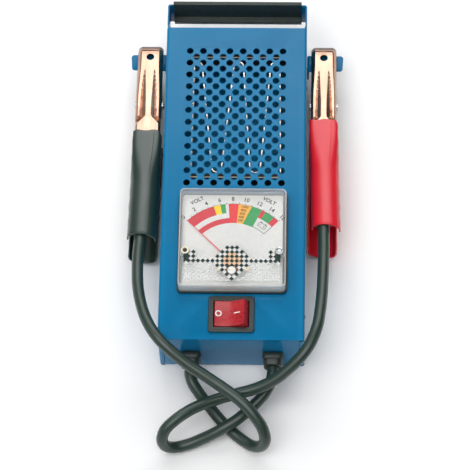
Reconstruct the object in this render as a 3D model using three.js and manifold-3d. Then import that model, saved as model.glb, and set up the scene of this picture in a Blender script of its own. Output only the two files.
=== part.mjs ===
// Battery tester: a sheet-steel case with a vented front, a square panel meter, a momentary rocker
// switch, a carrying handle, a ribbon load resistor inside, and two leads that end in battery clamps.
//
// Millimetres. The case lies on its back: X runs across it, +Y towards the handle, +Z out of the front.
// The origin is the centre of the case's back face. Pieces that touch keep a gap of GAP.

import * as THREE from "three";
import { mergeVertices } from "three/addons/utils/BufferGeometryUtils.js";
import Module from "manifold-3d";

const wasm = await Module();
wasm.setup();

// ---------------------------------------------------------------- driving dimensions
const GAP = 0.3;

// case
const HALF_WIDTH = 53;
const HALF_LENGTH = 127.5;
const DEPTH = 50;
const SHEET = 1;
const LAP = 3.5; // end flange of a side wall, bent over the end wall
const INNER_FRONT = DEPTH - SHEET;
const FLANGES = [
  { low: -110, high: -88, top: 32 },
  { low: -60, high: 70, top: 12 },
]; // side flanges of the rear shell: a screw ear and a locating strip
const VENT = { pitch: 10, row: 5, rows: 23, top: 107.5, radius: 2.55, sides: 6, wide: 8 };

// handle
const STRAP = { low: 22, high: 47, thick: 1.2, crown: 149.2, leg: 76 };
const GRIP = { half: 48.8, low: 20, high: 49, top: 151.1, under: 147.7, rail: 143.5, railBack: 28.8, lip: 0.8 };
const HANDLE_SCREW = { y: 84, z: 34.5 };

// clamp parking tabs
const TAB = { low: 103.5, high: 116.8, reach: 81, thick: 1.5, foot: 12, rivetY: 110, rivetZ: 17 };
const MID = DEPTH / 2;

// holes and fasteners in the side walls
const SIDE_SCREW = { y: -98.9, z: MID };
const SCREW = { head: 3, proud: 1.7, shank: 1.5, reach: 5.5, hole: 1.9 };
const RIVET = { head: 2.4, proud: 0.9, shank: 1.3, reach: 4.4, hole: 1.6 };
const JOIN = 0.5; // overlap of boxes that are joined into one piece

// meter
const METER = { half: 40, low: -92, high: -12, base: 53.3, front: 63, wall: 2, inset: 1 };
const PIVOT = [0, -70];
const BARREL = { y: -68, outer: 22, inner: 20.5, back: 24, floor: 25.5 };
const MAGNET = { outer: 17, inner: 11.5, top: 43 };
const COVER_SCREW = { x: 34.2, y: -62.7 };
const ADJUSTER_Y = -78.6;
const DIAL = { half: 35, low: -88.3, high: -16.5, back: 55.6, front: 56.2, opening: 12.8 };
const NEEDLE = { length: 46, back: 57.2, front: 57.7, rest: 45 };
const TERMINAL_X = 10;

// rocker switch
const SWITCH = { y: -108.1, bezelX: 16.7, bezelY: 14.1, bodyX: 14.2, bodyY: 11.5, front: 52, back: 30 };
const ROCKER = { pivotZ: 49.1, radius: 12.5, half: 9.8, tilt: 12, corner: 30, dip: 3.7 };

// load resistor
const RAIL = { half: 44, thick: 3, low: 26, high: 43, upper: 107, lower: 6.5, footX: 40 };
const RIBBON = { low: 31, high: 41, thick: 0.8, top: 99.5, bottom: 14, end: 10.5 };
const RUNS = [
  { top: -32, bottom: -32.5 },
  { top: -26, bottom: -17 },
  { top: -2, bottom: -9.8 },
  { top: 5.2, bottom: 11.4 },
  { top: 25.8, bottom: 19 },
  { top: 32.7, bottom: 34 },
]; // X of each run of the ribbon at its two ends

// cable glands and leads
const GLAND = { x: 30, z: 21.5, bore: 4.6, neck: 6.3, head: 7.5, end: HALF_LENGTH + 10 };
const LEAD_RADIUS = 4.25;
const TAIL_END = -113; // where a lead's tail ends inside the case
const WIRE_RADIUS = 1.4;

// clamps
const CLAMP = { x: 66, pivotY: 73.5, tip: 123, jaw: 9.5, inner: 8.1, sheet: 1, tang: 6, tangEnd: -28 };
const TIP_HOLE = { y: 110.5, radius: 2.45 };
const REAR_TANG = 3; // the rear half's tang stops this far short of its sleeve's end
const PIN = { radius: 2, hole: 2.3, half: 11.15, head: 3.2 };
const SLEEVE = { half: 10.9, height: 12, wall: 1.2, rise: 3.4, crown: 17.9, crownY: 54.5 };
const SPRING = { radius: 4.3, wire: 0.8, turns: 3, pitch: 2.6 };

// ---------------------------------------------------------------- materials
const paint = (color, roughness, metalness) =>
  new THREE.MeshStandardMaterial({ color, roughness, metalness });
const FINISH = {
  bluePaint: () => paint(0x0a6fa6, 0.42, 0.15),
  blackPlastic: () => paint(0x22302b, 0.5, 0),
  wire: () => paint(0x24484f, 0.5, 0),
  blackRubber: () => paint(0x2c423b, 0.55, 0),
  redRubber: () => paint(0xe0303f, 0.45, 0),
  redPlastic: () => paint(0xb8303a, 0.35, 0),
  copper: () => paint(0xd59a78, 0.25, 1),
  steel: () => paint(0xb9bcc0, 0.35, 1),
  blackSteel: () => paint(0x1d2022, 0.45, 0.8),
  brass: () => paint(0xc9a24a, 0.3, 1),
  ceramic: () => paint(0xe9e6da, 0.6, 0),
  resistance: () => paint(0xc8c9c6, 0.35, 1),
  clear: () => paint(0xe8eef2, 0.08, 0),
  white: () => paint(0xecebe6, 0.5, 0),
  needleRed: () => paint(0xc81e28, 0.4, 0),
  winding: () => paint(0xb8662e, 0.35, 0.8),
};

// ---------------------------------------------------------------- geometry helpers
const group = new THREE.Group();

function solid(geometry) {
  const bare = geometry.clone();
  bare.deleteAttribute("normal");
  bare.deleteAttribute("uv");
  const merged = mergeVertices(bare, 1e-4);
  return new wasm.Manifold(
    new wasm.Mesh({
      numProp: 3,
      vertProperties: merged.getAttribute("position").array,
      triVerts: new Uint32Array(merged.getIndex().array),
    }),
  );
}

function geometryOf(manifold) {
  const mesh = manifold.getMesh();
  const geometry = new THREE.BufferGeometry();
  geometry.setAttribute("position", new THREE.BufferAttribute(mesh.vertProperties, 3));
  geometry.setIndex(new THREE.BufferAttribute(mesh.triVerts, 1));
  geometry.computeVertexNormals();
  return geometry;
}

function add(name, shape, material) {
  const geometry = shape.isBufferGeometry ? shape : geometryOf(shape);
  const mesh = new THREE.Mesh(geometry, material());
  mesh.name = name;
  group.add(mesh);
}

function joined(pieces) {
  return pieces.reduce((whole, piece) => whole.add(piece));
}

function box([x0, x1], [y0, y1], [z0, z1]) {
  const geometry = new THREE.BoxGeometry(x1 - x0, y1 - y0, z1 - z0);
  geometry.translate((x0 + x1) / 2, (y0 + y1) / 2, (z0 + z1) / 2);
  return solid(geometry);
}

function shapeOf(points, holes = []) {
  const shape = new THREE.Shape(points.map(([a, b]) => new THREE.Vector2(a, b)));
  shape.holes = holes;
  return shape;
}

function circlePath(x, y, radius, sides) {
  const points = [];
  for (let i = 0; i < sides; i++) {
    const angle = (-2 * Math.PI * i) / sides;
    points.push(new THREE.Vector2(x + radius * Math.cos(angle), y + radius * Math.sin(angle)));
  }
  return new THREE.Path(points);
}

// An outline in X and Y, extruded along Z.
function prismZ(points, z0, z1, holes = []) {
  const geometry = new THREE.ExtrudeGeometry(shapeOf(points, holes), {
    depth: z1 - z0,
    bevelEnabled: false,
  });
  geometry.translate(0, 0, z0);
  return solid(geometry);
}

// An outline in Y and Z, extruded along X.
function prismX(points, x0, x1) {
  const geometry = new THREE.ExtrudeGeometry(shapeOf(points), {
    depth: x1 - x0,
    bevelEnabled: false,
  });
  const turn = new THREE.Matrix4().set(0, 0, 1, x0, 1, 0, 0, 0, 0, 1, 0, 0, 0, 0, 0, 1);
  return solid(geometry.applyMatrix4(turn));
}

// An outline in X and Z, extruded along Y.
function prismY(points, y0, y1) {
  const geometry = new THREE.ExtrudeGeometry(shapeOf(points), {
    depth: y1 - y0,
    bevelEnabled: false,
  });
  const turn = new THREE.Matrix4().set(1, 0, 0, 0, 0, 0, -1, y1, 0, 1, 0, 0, 0, 0, 0, 1);
  return solid(geometry.applyMatrix4(turn));
}

// A cylinder along an axis, "x", "y" or "z", from one value to another, round a centre.
function rod(axis, centre, radius, from, to, sides = 16) {
  const geometry = new THREE.CylinderGeometry(radius, radius, to - from, sides);
  if (axis === "x") geometry.rotateZ(-Math.PI / 2);
  if (axis === "z") geometry.rotateX(Math.PI / 2);
  const middle = (from + to) / 2;
  const place = {
    x: [middle, centre[0], centre[1]],
    y: [centre[0], middle, centre[1]],
    z: [centre[0], centre[1], middle],
  }[axis];
  geometry.translate(...place);
  return solid(geometry);
}

function circleSection(radius, sides) {
  const points = [];
  for (let i = 0; i < sides; i++) {
    const angle = (2 * Math.PI * (i + 0.5)) / sides;
    points.push([radius * Math.cos(angle), radius * Math.sin(angle)]);
  }
  return shapeOf(points);
}

// A round bar along a smooth curve through the points.
function tube(points, radius, sides, steps) {
  const curve = new THREE.CatmullRomCurve3(points.map((p) => new THREE.Vector3(...p)));
  return new THREE.ExtrudeGeometry(circleSection(radius, sides), {
    extrudePath: curve,
    steps,
    bevelEnabled: false,
  });
}

// ---------------------------------------------------------------- case
function ventHoles() {
  const holes = [];
  for (let row = 0; row < VENT.rows; row++) {
    const count = row % 2 ? VENT.wide - 1 : VENT.wide;
    const y = VENT.top - row * VENT.row;
    for (let i = 0; i < count; i++) {
      holes.push(circlePath((i - (count - 1) / 2) * VENT.pitch, y, VENT.radius, VENT.sides));
    }
  }
  return holes;
}

function frontCover() {
  const w = HALF_WIDTH;
  const l = HALF_LENGTH;
  const outline = [
    [-w, -l],
    [w, -l],
    [w, l],
    [-w, l],
  ];
  const front = prismZ(outline, INNER_FRONT, DEPTH, ventHoles());
  const pieces = [front];
  for (const side of [-1, 1]) {
    const across = (from, to) => [side * from, side * to].sort((a, b) => a - b);
    pieces.push(box(across(w - SHEET, w), [-l, l], [0, INNER_FRONT + JOIN]));
    for (const end of [-1, 1]) {
      const along = [end * (l - SHEET), end * l].sort((a, b) => a - b);
      pieces.push(box(across(w - LAP, w), along, [SHEET + GAP, INNER_FRONT + JOIN]));
    }
  }
  let cover = joined(pieces);
  cover = cover.subtract(rod("z", [0, BARREL.y], BARREL.outer + 0.4, 40, 60, 24));
  const cut = GAP / 2;
  const s = SWITCH;
  cover = cover.subtract(
    box([-s.bodyX - cut, s.bodyX + cut], [s.y - s.bodyY - cut, s.y + s.bodyY + cut], [40, 60]),
  );
  for (const side of [-1, 1]) {
    const wall = (from, to) => [side * from, side * to].sort((a, b) => a - b);
    const legSlot = [STRAP.low - GAP, STRAP.high + GAP];
    cover = cover.subtract(box(wall(w - LAP - 1, w - SHEET), [l - 2, l + 1], legSlot));
    cover = cover.subtract(box(wall(w - SHEET - 0.01, w + 1), [l - 2, l + 1], legSlot));
    const through = wall(w - 4, w + 4);
    for (const [y, z, hole] of [
      [SIDE_SCREW.y, SIDE_SCREW.z, SCREW.hole],
      [HANDLE_SCREW.y, HANDLE_SCREW.z, SCREW.hole],
      [TAB.rivetY, TAB.rivetZ, RIVET.hole],
    ]) {
      cover = cover.subtract(rod("x", [y, z], hole, ...through, 12));
    }
  }
  return cover;
}

function rearShell() {
  const w = HALF_WIDTH - SHEET - GAP;
  const l = HALF_LENGTH;
  const endHalf = HALF_WIDTH - LAP - GAP;
  const pieces = [box([-w, w], [-l, l], [0, SHEET])];
  for (const end of [-1, 1]) {
    const along = [end * (l - SHEET), end * l].sort((a, b) => a - b);
    pieces.push(box([-endHalf, endHalf], along, [JOIN, INNER_FRONT - GAP]));
  }
  for (const side of [-1, 1]) {
    const across = [side * (w - SHEET), side * w].sort((a, b) => a - b);
    for (const { low, high, top } of FLANGES) pieces.push(box(across, [low, high], [JOIN, top]));
  }
  let shell = joined(pieces);
  for (const side of [-1, 1]) {
    shell = shell.subtract(
      rod("y", [side * GLAND.x, GLAND.z], GLAND.neck + GAP, -l - 2, -l + 3, 16),
    );
    const inside = [side * (w - 3), side * (w + 3)].sort((a, b) => a - b);
    shell = shell.subtract(rod("x", [SIDE_SCREW.y, SIDE_SCREW.z], SCREW.hole, ...inside, 12));
  }
  return shell;
}

// A pan-head screw or rivet through a side wall, its head outside.
function sideFastener(side, y, z, headFrom, { head, proud, shank, reach }) {
  const along = (from, to) => [side * from, side * to].sort((a, b) => a - b);
  const cap = rod("x", [y, z], head, ...along(headFrom, headFrom + proud), 16);
  const stem = rod("x", [y, z], shank, ...along(headFrom - reach, headFrom + 0.2), 12);
  return cap.add(stem);
}

// ---------------------------------------------------------------- handle
function handleStrap() {
  const w = HALF_WIDTH;
  const t = STRAP.thick;
  const step = HALF_LENGTH + 3;
  const inner = w - SHEET - GAP; // outside face of the leg within the case
  const y = STRAP.crown;
  const r = 4; // bend radius at the crown
  const half = [
    [inner, STRAP.leg],
    [inner, step - 2.5],
    [w, step + 0.5],
    [w, y - r],
    [w - r * 0.3, y - r * 0.3],
    [w - r, y],
  ];
  const halfInside = [
    [w - r, y - t],
    [w - t - r * 0.2, y - t - r * 0.2],
    [w - t, y - r],
    [w - t, step + 1],
    [inner - t, step - 2],
    [inner - t, STRAP.leg],
  ];
  const mirror = (points) => points.map(([a, b]) => [-a, b]).reverse();
  const outline = [...half, ...mirror(half), ...mirror(halfInside), ...halfInside];
  let strap = prismZ(outline, STRAP.low, STRAP.high);
  for (const side of [-1, 1]) {
    const across = [side * 45, side * 56].sort((a, b) => a - b);
    strap = strap.subtract(rod("x", [HANDLE_SCREW.y, HANDLE_SCREW.z], SCREW.hole, ...across, 12));
  }
  return strap;
}

// The grip wraps the crown of the strap: flat on top, with a rail along its inner face.
function handleGrip() {
  const g = GRIP;
  const section = [
    [g.high, g.under],
    [g.high, g.top - 1],
    [g.high - 1.2, g.top],
    [g.low + 1.2, g.top],
    [g.low, g.top - 1],
    [g.low, g.under - g.lip],
    [g.railBack, g.under - g.lip],
    [g.railBack, g.rail],
    [g.railBack + 1.6, g.rail],
    [g.railBack + 1.6, g.under],
  ].map(([z, y]) => [y, z]);
  const body = prismX(section, -g.half, g.half);
  const slotTop = STRAP.crown + GAP;
  const slotLow = STRAP.crown - STRAP.thick - GAP;
  const slot = box([-60, 60], [slotLow, slotTop], [STRAP.low - GAP, STRAP.high + GAP]);
  return body.subtract(slot);
}

// ---------------------------------------------------------------- parking tabs
function clampTab(side) {
  const wall = HALF_WIDTH + GAP;
  const { low, high, reach, thick } = TAB;
  const outline = [
    [wall, low],
    [reach - 2.6, low + 0.4],
    [reach - 0.6, low + 1.8],
    [reach, high - 2],
    [reach - 1.6, high - 0.2],
    [wall, high],
  ].map(([x, y]) => [side * x, y]);
  if (side < 0) outline.reverse();
  const plate = prismZ(outline, MID - thick / 2, MID + thick / 2);
  const foot = [side * wall, side * (wall + thick)].sort((a, b) => a - b);
  const bracket = plate.add(box(foot, [low, high], [TAB.foot, MID]));
  const through = [side * (wall - 2), side * (wall + 4)].sort((a, b) => a - b);
  return bracket.subtract(rod("x", [TAB.rivetY, TAB.rivetZ], RIVET.hole, ...through, 12));
}

// ---------------------------------------------------------------- meter
function meterHousing() {
  const m = METER;
  const flange = box([-m.half, m.half], [m.low, m.high], [DEPTH + GAP, m.base]);
  const barrel = rod("z", [0, BARREL.y], BARREL.outer, BARREL.back, m.base, 24);
  let housing = flange
    .add(barrel)
    .subtract(rod("z", [0, BARREL.y], BARREL.inner, BARREL.floor, 70, 24));
  for (const side of [-1, 1]) {
    const boss = rod("z", [side * 29, -24], 2.5, m.base - 0.5, DIAL.back - GAP, 12);
    housing = housing.add(boss);
    housing = housing.subtract(
      rod("z", [side * COVER_SCREW.x, COVER_SCREW.y], 1.8, DEPTH + 0.8, 60, 12),
    );
    housing = housing.subtract(rod("z", [side * TERMINAL_X, BARREL.y], 2.8, 20, 30, 12));
  }
  return housing;
}

function meterCover() {
  const m = METER;
  const h = m.half - m.inset;
  const low = m.low + m.inset;
  const high = m.high - m.inset;
  const c = 2.2;
  const ring = (inset, cut) => {
    const [x, y0, y1] = [h - inset, low + inset, high - inset];
    return [
      [-x + cut, y0],
      [x - cut, y0],
      [x, y0 + cut],
      [x, y1 - cut],
      [x - cut, y1],
      [-x + cut, y1],
      [-x, y1 - cut],
      [-x, y0 + cut],
    ];
  };
  let cover = prismZ(ring(0, c), m.base + GAP, m.front);
  cover = cover.subtract(prismZ(ring(m.wall, c), m.base - 1, m.front - m.wall));
  for (const side of [-1, 1]) {
    const centre = [side * COVER_SCREW.x, COVER_SCREW.y];
    cover = cover.add(rod("z", centre, 3.4, m.base + GAP, m.front - 0.5, 16));
    cover = cover.subtract(rod("z", centre, 1.8, m.base - 1, m.front + 1, 12));
    cover = cover.subtract(rod("z", centre, 3.05, m.front - 1.2, m.front + 1, 16));
  }
  cover = cover.subtract(rod("z", [0, ADJUSTER_Y], 2.3, m.base, m.front + 1, 12));
  return cover.subtract(rod("z", [0, ADJUSTER_Y], 3.35, m.front - 1, m.front + 1, 16));
}

function dialPlate() {
  const d = DIAL;
  const outline = [
    [-d.half, d.low],
    [d.half, d.low],
    [d.half, d.high],
    [-d.half, d.high],
  ];
  let plate = prismZ(outline, d.back, d.front, [circlePath(...PIVOT, d.opening, 24)]);
  for (const side of [-1, 1]) {
    const centre = [side * COVER_SCREW.x, COVER_SCREW.y];
    plate = plate.subtract(rod("z", centre, 4, 50, 60, 16));
  }
  return plate;
}

function magnetRing() {
  const outer = rod("z", PIVOT, MAGNET.outer, BARREL.floor + GAP, MAGNET.top, 24);
  return outer.subtract(rod("z", PIVOT, MAGNET.inner, 20, 50, 24));
}

const ironCore = () => rod("z", PIVOT, 9, 31, MAGNET.top, 24);

function coreBracket() {
  const low = MAGNET.top + GAP;
  const reach = MAGNET.outer - 1;
  return box([-2, 2], [PIVOT[1] - reach, PIVOT[1] + reach], [low, low + 0.9]);
}

// The coil frame is a flat loop round the core; it stands crosswise to the needle.
function movingCoil() {
  const outer = box([-11, 11], [-1.5, 1.5], [28.5, 46]);
  const loop = outer.subtract(box([-9.5, 9.5], [-3, 3], [30, 44.6]));
  return loop.rotate([0, 0, NEEDLE.rest]).translate([...PIVOT, 0]);
}

function needle() {
  const hub = rod("z", [0, 0], 1.4, 46.3, NEEDLE.front, 12);
  const outline = [
    [-0.6, -9],
    [0.6, -9],
    [0.7, 0],
    [0.25, NEEDLE.length],
    [-0.25, NEEDLE.length],
    [-0.7, 0],
  ];
  const pointer = prismZ(outline, NEEDLE.back, NEEDLE.front);
  return hub.add(pointer).rotate([0, 0, NEEDLE.rest]).translate([...PIVOT, 0]);
}

function bearingBridge() {
  const [x, y] = PIVOT;
  const top = 48.4;
  let bridge = box([x - 16.5, x + 16.5], [y - 2.5, y + 2.5], [47.2, top]);
  for (const side of [-1, 1]) {
    bridge = bridge.add(rod("z", [x + side * 14.4, y], 1.8, MAGNET.top + GAP, 47.5, 12));
  }
  return bridge.subtract(rod("z", PIVOT, 1.75, 40, 60, 12));
}

function hairspring() {
  const points = [];
  const turns = 2.25;
  const steps = 27;
  for (let i = 0; i <= steps; i++) {
    const angle = (2 * Math.PI * turns * i) / steps;
    const r = 2.2 + (4.6 * i) / steps;
    points.push([PIVOT[0] + r * Math.cos(angle), PIVOT[1] + r * Math.sin(angle), 50.6]);
  }
  return tube(points, 0.25, 4, steps);
}

function zeroAdjuster() {
  const centre = [0, ADJUSTER_Y];
  const head = rod("z", centre, 3, METER.front - 0.7, METER.front + 0.4, 20);
  const shaft = rod("z", centre, 2, 58.2, METER.front, 12);
  const slot = box([-4, 4], [ADJUSTER_Y - 0.35, ADJUSTER_Y + 0.35], [METER.front - 0.2, 70]);
  return head.add(shaft).subtract(slot);
}

function coverScrew(side) {
  const centre = [side * COVER_SCREW.x, COVER_SCREW.y];
  const head = rod("z", centre, 2.7, METER.front - 0.9, METER.front + 0.2, 16);
  const slot = box([centre[0] - 4, centre[0] + 4], [centre[1] - 0.3, centre[1] + 0.3], [62.7, 70]);
  return head.subtract(slot).add(rod("z", centre, 1.4, 51.5, METER.front - 0.5, 12));
}

function terminalStud(side) {
  const centre = [side * TERMINAL_X, BARREL.y];
  const insideHead = rod("z", [side * TERMINAL_X, BARREL.y], 2.4, 12, BARREL.back + 1.2, 12);
  return insideHead.add(rod("z", centre, 1.9, 11, 14, 12));
}

function terminalNut(side) {
  const centre = [side * TERMINAL_X, BARREL.y];
  const nut = rod("z", centre, 4.6, BARREL.back - 4, BARREL.back - GAP, 6);
  return nut.subtract(rod("z", centre, 2.75, 10, 30, 12));
}

// ---------------------------------------------------------------- switch
function switchBody() {
  const s = SWITCH;
  const bezel = box([-s.bezelX, s.bezelX], [s.y - s.bezelY, s.y + s.bezelY], [DEPTH + GAP, s.front]);
  let body = bezel.add(box([-s.bodyX, s.bodyX], [s.y - s.bodyY, s.y + s.bodyY], [s.back, s.front]));
  const clear = GAP;
  const roomX = ROCKER.radius + clear;
  const roomY = ROCKER.half + clear;
  body = body.subtract(box([-roomX, roomX], [s.y - roomY, s.y + roomY], [s.back + 2, 60]));
  body = body.subtract(
    rod("y", [0, ROCKER.pivotZ], 1.8, s.y - s.bodyY - 1, s.y + s.bodyY + 1, 16),
  );
  for (const side of [-1, 1]) {
    const slot = [side * 8 - 0.7, side * 8 + 0.7];
    body = body.subtract(box(slot, [s.y - 3.5, s.y + 3.5], [s.back - 1, s.back + 3]));
  }
  return body;
}

// The rocker's ends are arcs about its pivot, its top is a shallow V.
function rocker() {
  const r = ROCKER;
  const rad = Math.PI / 180;
  const points = [];
  for (let i = 0; i <= 5; i++) {
    const angle = (-20 + ((r.corner + 20) * i) / 5) * rad;
    points.push([r.radius * Math.cos(angle), r.radius * Math.sin(angle)]);
  }
  points.push([5, r.dip + 0.7], [0, r.dip], [-5, r.dip + 0.7]);
  for (let i = 5; i >= 0; i--) {
    const angle = (-20 + ((r.corner + 20) * i) / 5) * rad;
    points.push([-r.radius * Math.cos(angle), r.radius * Math.sin(angle)]);
  }
  const body = prismY(points, -r.half, r.half);
  const axle = rod("y", [0, 0], 1.5, -r.half - 0.9, r.half + 0.9, 16);
  return body
    .add(axle)
    .rotate([0, -r.tilt, 0])
    .translate([0, SWITCH.y, r.pivotZ]);
}

function switchTerminal(side) {
  const x = side * 8;
  const y = SWITCH.y;
  const blade = box([x - 0.4, x + 0.4], [y - 3.2, y + 3.2], [18, SWITCH.back + 3]);
  return blade.subtract(rod("x", [y, 21], 1, x - 2, x + 2, 10));
}

// A leaf that bridges the two blades when the raised end of the rocker is pressed.
function contactLever() {
  const y = SWITCH.y;
  const low = SWITCH.back + 3.4;
  return prismX([[y - 3, low], [y + 3, low], [y + 3, low + 0.6], [y - 3, low + 0.6]], -9.5, 9.5);
}

// ---------------------------------------------------------------- load resistor
// The outline of a strip of even thickness along a line of points.
function stripOutline(points, thick) {
  const last = points.length - 1;
  const edge = (sign) =>
    points.map(([x, y], i) => {
      const [x0, y0] = points[Math.max(i - 1, 0)];
      const [x1, y1] = points[Math.min(i + 1, last)];
      const shift = (sign * thick) / 2 / Math.hypot(x1 - x0, y1 - y0);
      return [x - (y1 - y0) * shift, y + (x1 - x0) * shift];
    });
  return [...edge(1), ...edge(-1).reverse()];
}

// A ribbon on edge that runs up and down between the two insulating rails, with a round loop at each turn.
function resistorRibbon() {
  const b = RIBBON;
  const loopSteps = 6;
  const points = [[RUNS[0].bottom, b.end]];
  RUNS.slice(1).forEach((run, i) => {
    const atTop = i % 2 === 0;
    const [end, y] = atTop ? ["top", b.top] : ["bottom", b.bottom];
    const middle = (RUNS[i][end] + run[end]) / 2;
    const radius = (run[end] - RUNS[i][end]) / 2;
    for (let step = 0; step <= loopSteps; step++) {
      const angle = (Math.PI * step) / loopSteps;
      const rise = radius * Math.sin(angle) * (atTop ? 1 : -1);
      points.push([middle - radius * Math.cos(angle), y + rise]);
    }
  });
  points.push([RUNS.at(-1).bottom, b.end]);
  return prismZ(stripOutline(points, b.thick), b.low, b.high);
}

function insulatorRail(y) {
  const r = RAIL;
  const bar = box([-r.half, r.half], [y - r.thick / 2, y + r.thick / 2], [r.low, r.high]);
  const feet = [-1, 1].map((side) =>
    rod("z", [side * r.footX, y], 3, SHEET + GAP, r.low + 1, 12),
  );
  return joined([bar, ...feet]);
}

// ---------------------------------------------------------------- glands, leads and wires
function gland(side) {
  const { x, z, neck, head, end, bore } = GLAND;
  const cx = side * x;
  const wall = -HALF_LENGTH;
  const square = box(
    [cx - head, cx + head],
    [wall - 5.3, wall - GAP],
    [z - head, z + head],
  ).intersect(rod("y", [cx, z], head * 1.25, wall - 6, wall, 24));
  const pieces = [
    square,
    rod("y", [cx, z], head * 0.93, -end, wall - 5, 20),
    rod("y", [cx, z], neck, wall - 1, wall + 2.5, 16),
    rod("y", [cx, z], head + 1, wall + SHEET + GAP, wall + 6, 20),
  ];
  return joined(pieces).subtract(rod("y", [cx, z], bore, -end - 2, wall + 12, 16));
}

// Centre lines of the leads, from the gland's mouth to the clamp's sleeve.
const BLACK_LEAD = [
  [-30, -137.8, 21.5],
  [-29.9, -142.8, 21.5],
  [-28, -149.2, 20.5],
  [-23.8, -155.3, 17.5],
  [-18.4, -161.4, 13.4],
  [-12.6, -167.6, 9],
  [-6.2, -174.2, 5.6],
  [0.8, -180.8, 4.4],
  [8.3, -187.2, 4.6],
  [16, -192.6, 7],
  [22.4, -195.4, 13.2],
  [25.2, -193.4, 22],
  [23.6, -188.1, 29.9],
  [18.6, -181.5, 35.1],
  [12.3, -174.7, 38.2],
  [5, -168.3, 40],
  [-3.3, -162.5, 41.5],
  [-11.9, -157.1, 43.2],
  [-20.5, -152, 45.4],
  [-29.1, -147.1, 47.9],
  [-37.3, -141.6, 50.7],
  [-45.2, -135.5, 53.3],
  [-52.4, -128.3, 54.9],
  [-58.1, -119.9, 54.6],
  [-62.3, -110.7, 52.8],
  [-65.3, -101.1, 50.4],
  [-67.4, -91.3, 47.8],
  [-68.8, -81.4, 45.4],
  [-69.4, -71.2, 43.3],
  [-69.6, -60.9, 41.5],
  [-69.1, -50.6, 40.4],
  [-68.5, -40.2, 39.7],
  [-68, -28.4, 39.3],
];
const RED_LEAD = [
  [30, -137.8, 21.5],
  [29.9, -142.8, 21.5],
  [28.2, -149.8, 21.1],
  [24.4, -156.8, 19.8],
  [18.6, -163.4, 18.1],
  [11.5, -170, 16.5],
  [4.1, -176, 15.2],
  [-4.2, -180.9, 13.6],
  [-12.5, -184.8, 10.5],
  [-21.1, -187.8, 7],
  [-30, -190.8, 4.6],
  [-39.2, -193.4, 5],
  [-46.4, -194.6, 10.3],
  [-48.9, -192.8, 19.1],
  [-46.4, -188, 26.7],
  [-39.5, -182.1, 30.4],
  [-31.5, -176.1, 30.8],
  [-23.2, -170.9, 29.6],
  [-14.3, -166.8, 28.4],
  [-5, -163.2, 27.9],
  [4.9, -160.7, 28.8],
  [14.8, -158.7, 31],
  [24.2, -156.1, 34.3],
  [32.9, -152.5, 38.4],
  [40.7, -147.5, 42.8],
  [48.1, -141.6, 47],
  [54.6, -134.3, 50.3],
  [59.4, -125.1, 51.6],
  [62.5, -115, 51.1],
  [64, -104.5, 49.6],
  [65, -94.1, 47.8],
  [65.7, -83.6, 45.8],
  [66.1, -73, 43.9],
  [66.4, -62.3, 42.2],
  [66.6, -51.6, 40.9],
  [66.5, -40.9, 40.1],
  [66.4, -28.4, 39.6],
];

const leadTube = (points, steps) => tube(points, LEAD_RADIUS, 8, steps);

function leadTail(side) {
  const x = side * GLAND.x;
  return tube(
    [
      [x, -136.6, GLAND.z],
      [x, -128, GLAND.z],
      [x, -121, GLAND.z],
      [x, TAIL_END, GLAND.z],
    ],
    LEAD_RADIUS,
    8,
    4,
  );
}

// Insulated link wires inside the case: the lead tails feed the meter, and the resistor through the switch.
function meterWire(side) {
  return [
    [GLAND.x, TAIL_END + GAP, GLAND.z + 2.1],
    [28, -105, 22.5],
    [22, -90, 17],
    [18, -75, 14.5],
    [17, -68, 14],
    [13, -68, 14],
  ].map(([x, y, z]) => [side * x, y, z]);
}
const BLADE_WIRE_X = 9.2;
const ribbonEnd = (x) => [
  [x, 4, 16],
  [x, 10.4, 22],
  [x, RIBBON.end + 1.1, 26],
  [x, RIBBON.end + 1.1, RIBBON.low - 0.6],
];
const WIRES = {
  black_meter_wire: meterWire(-1),
  red_meter_wire: meterWire(1),
  switch_feed_wire: [
    [-GLAND.x, TAIL_END + 0.6, GLAND.z - 2.1],
    [-28, -109, 18.6],
    [-20, -107.5, 18.5],
    [-13, SWITCH.y, 20],
    [-BLADE_WIRE_X, SWITCH.y, 20],
  ],
  switch_ribbon_wire: [
    [BLADE_WIRE_X, SWITCH.y, 20],
    [13, SWITCH.y, 20],
    [19, -102, 17],
    [27, -88, 13],
    [30, -70, 13],
    [31, -40, 13],
    [33, -10, 13.5],
    ...ribbonEnd(RUNS.at(-1).bottom),
  ],
  ribbon_return_wire: [
    ...ribbonEnd(RUNS[0].bottom).reverse(),
    [-33, -10, 13.5],
    [-22, -42, 13],
    [0, -70, 13],
    [13, -92, 13],
    [24, -102, 14],
    [GLAND.x, -107, 18.4],
    [GLAND.x, TAIL_END + 0.6, GLAND.z - 2.1],
  ],
};

// ---------------------------------------------------------------- clamps
// Side view of one half above the pivot plane: y along the clamp, h above the plane.
const webLine = (tangEnd) => [
  [CLAMP.tip, 2.4],
  [122.2, 3.4],
  [117.6, 7.4],
  [113, 9],
  [98, 11.2],
  [80, 13.6],
  [66, 14.6],
  [56, 14.6],
  [tangEnd, 16.6],
];
const edgeLine = (tangEnd) => [
  [tangEnd, 12.4],
  [54.5, 10.8],
  [58, 8.5],
  [65, -5],
  [73.5, -6.6],
  [82, -5],
  [92, 4.6],
  [111, 4],
  [113.5, 1.15],
  [CLAMP.tip, 1.15],
];

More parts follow.
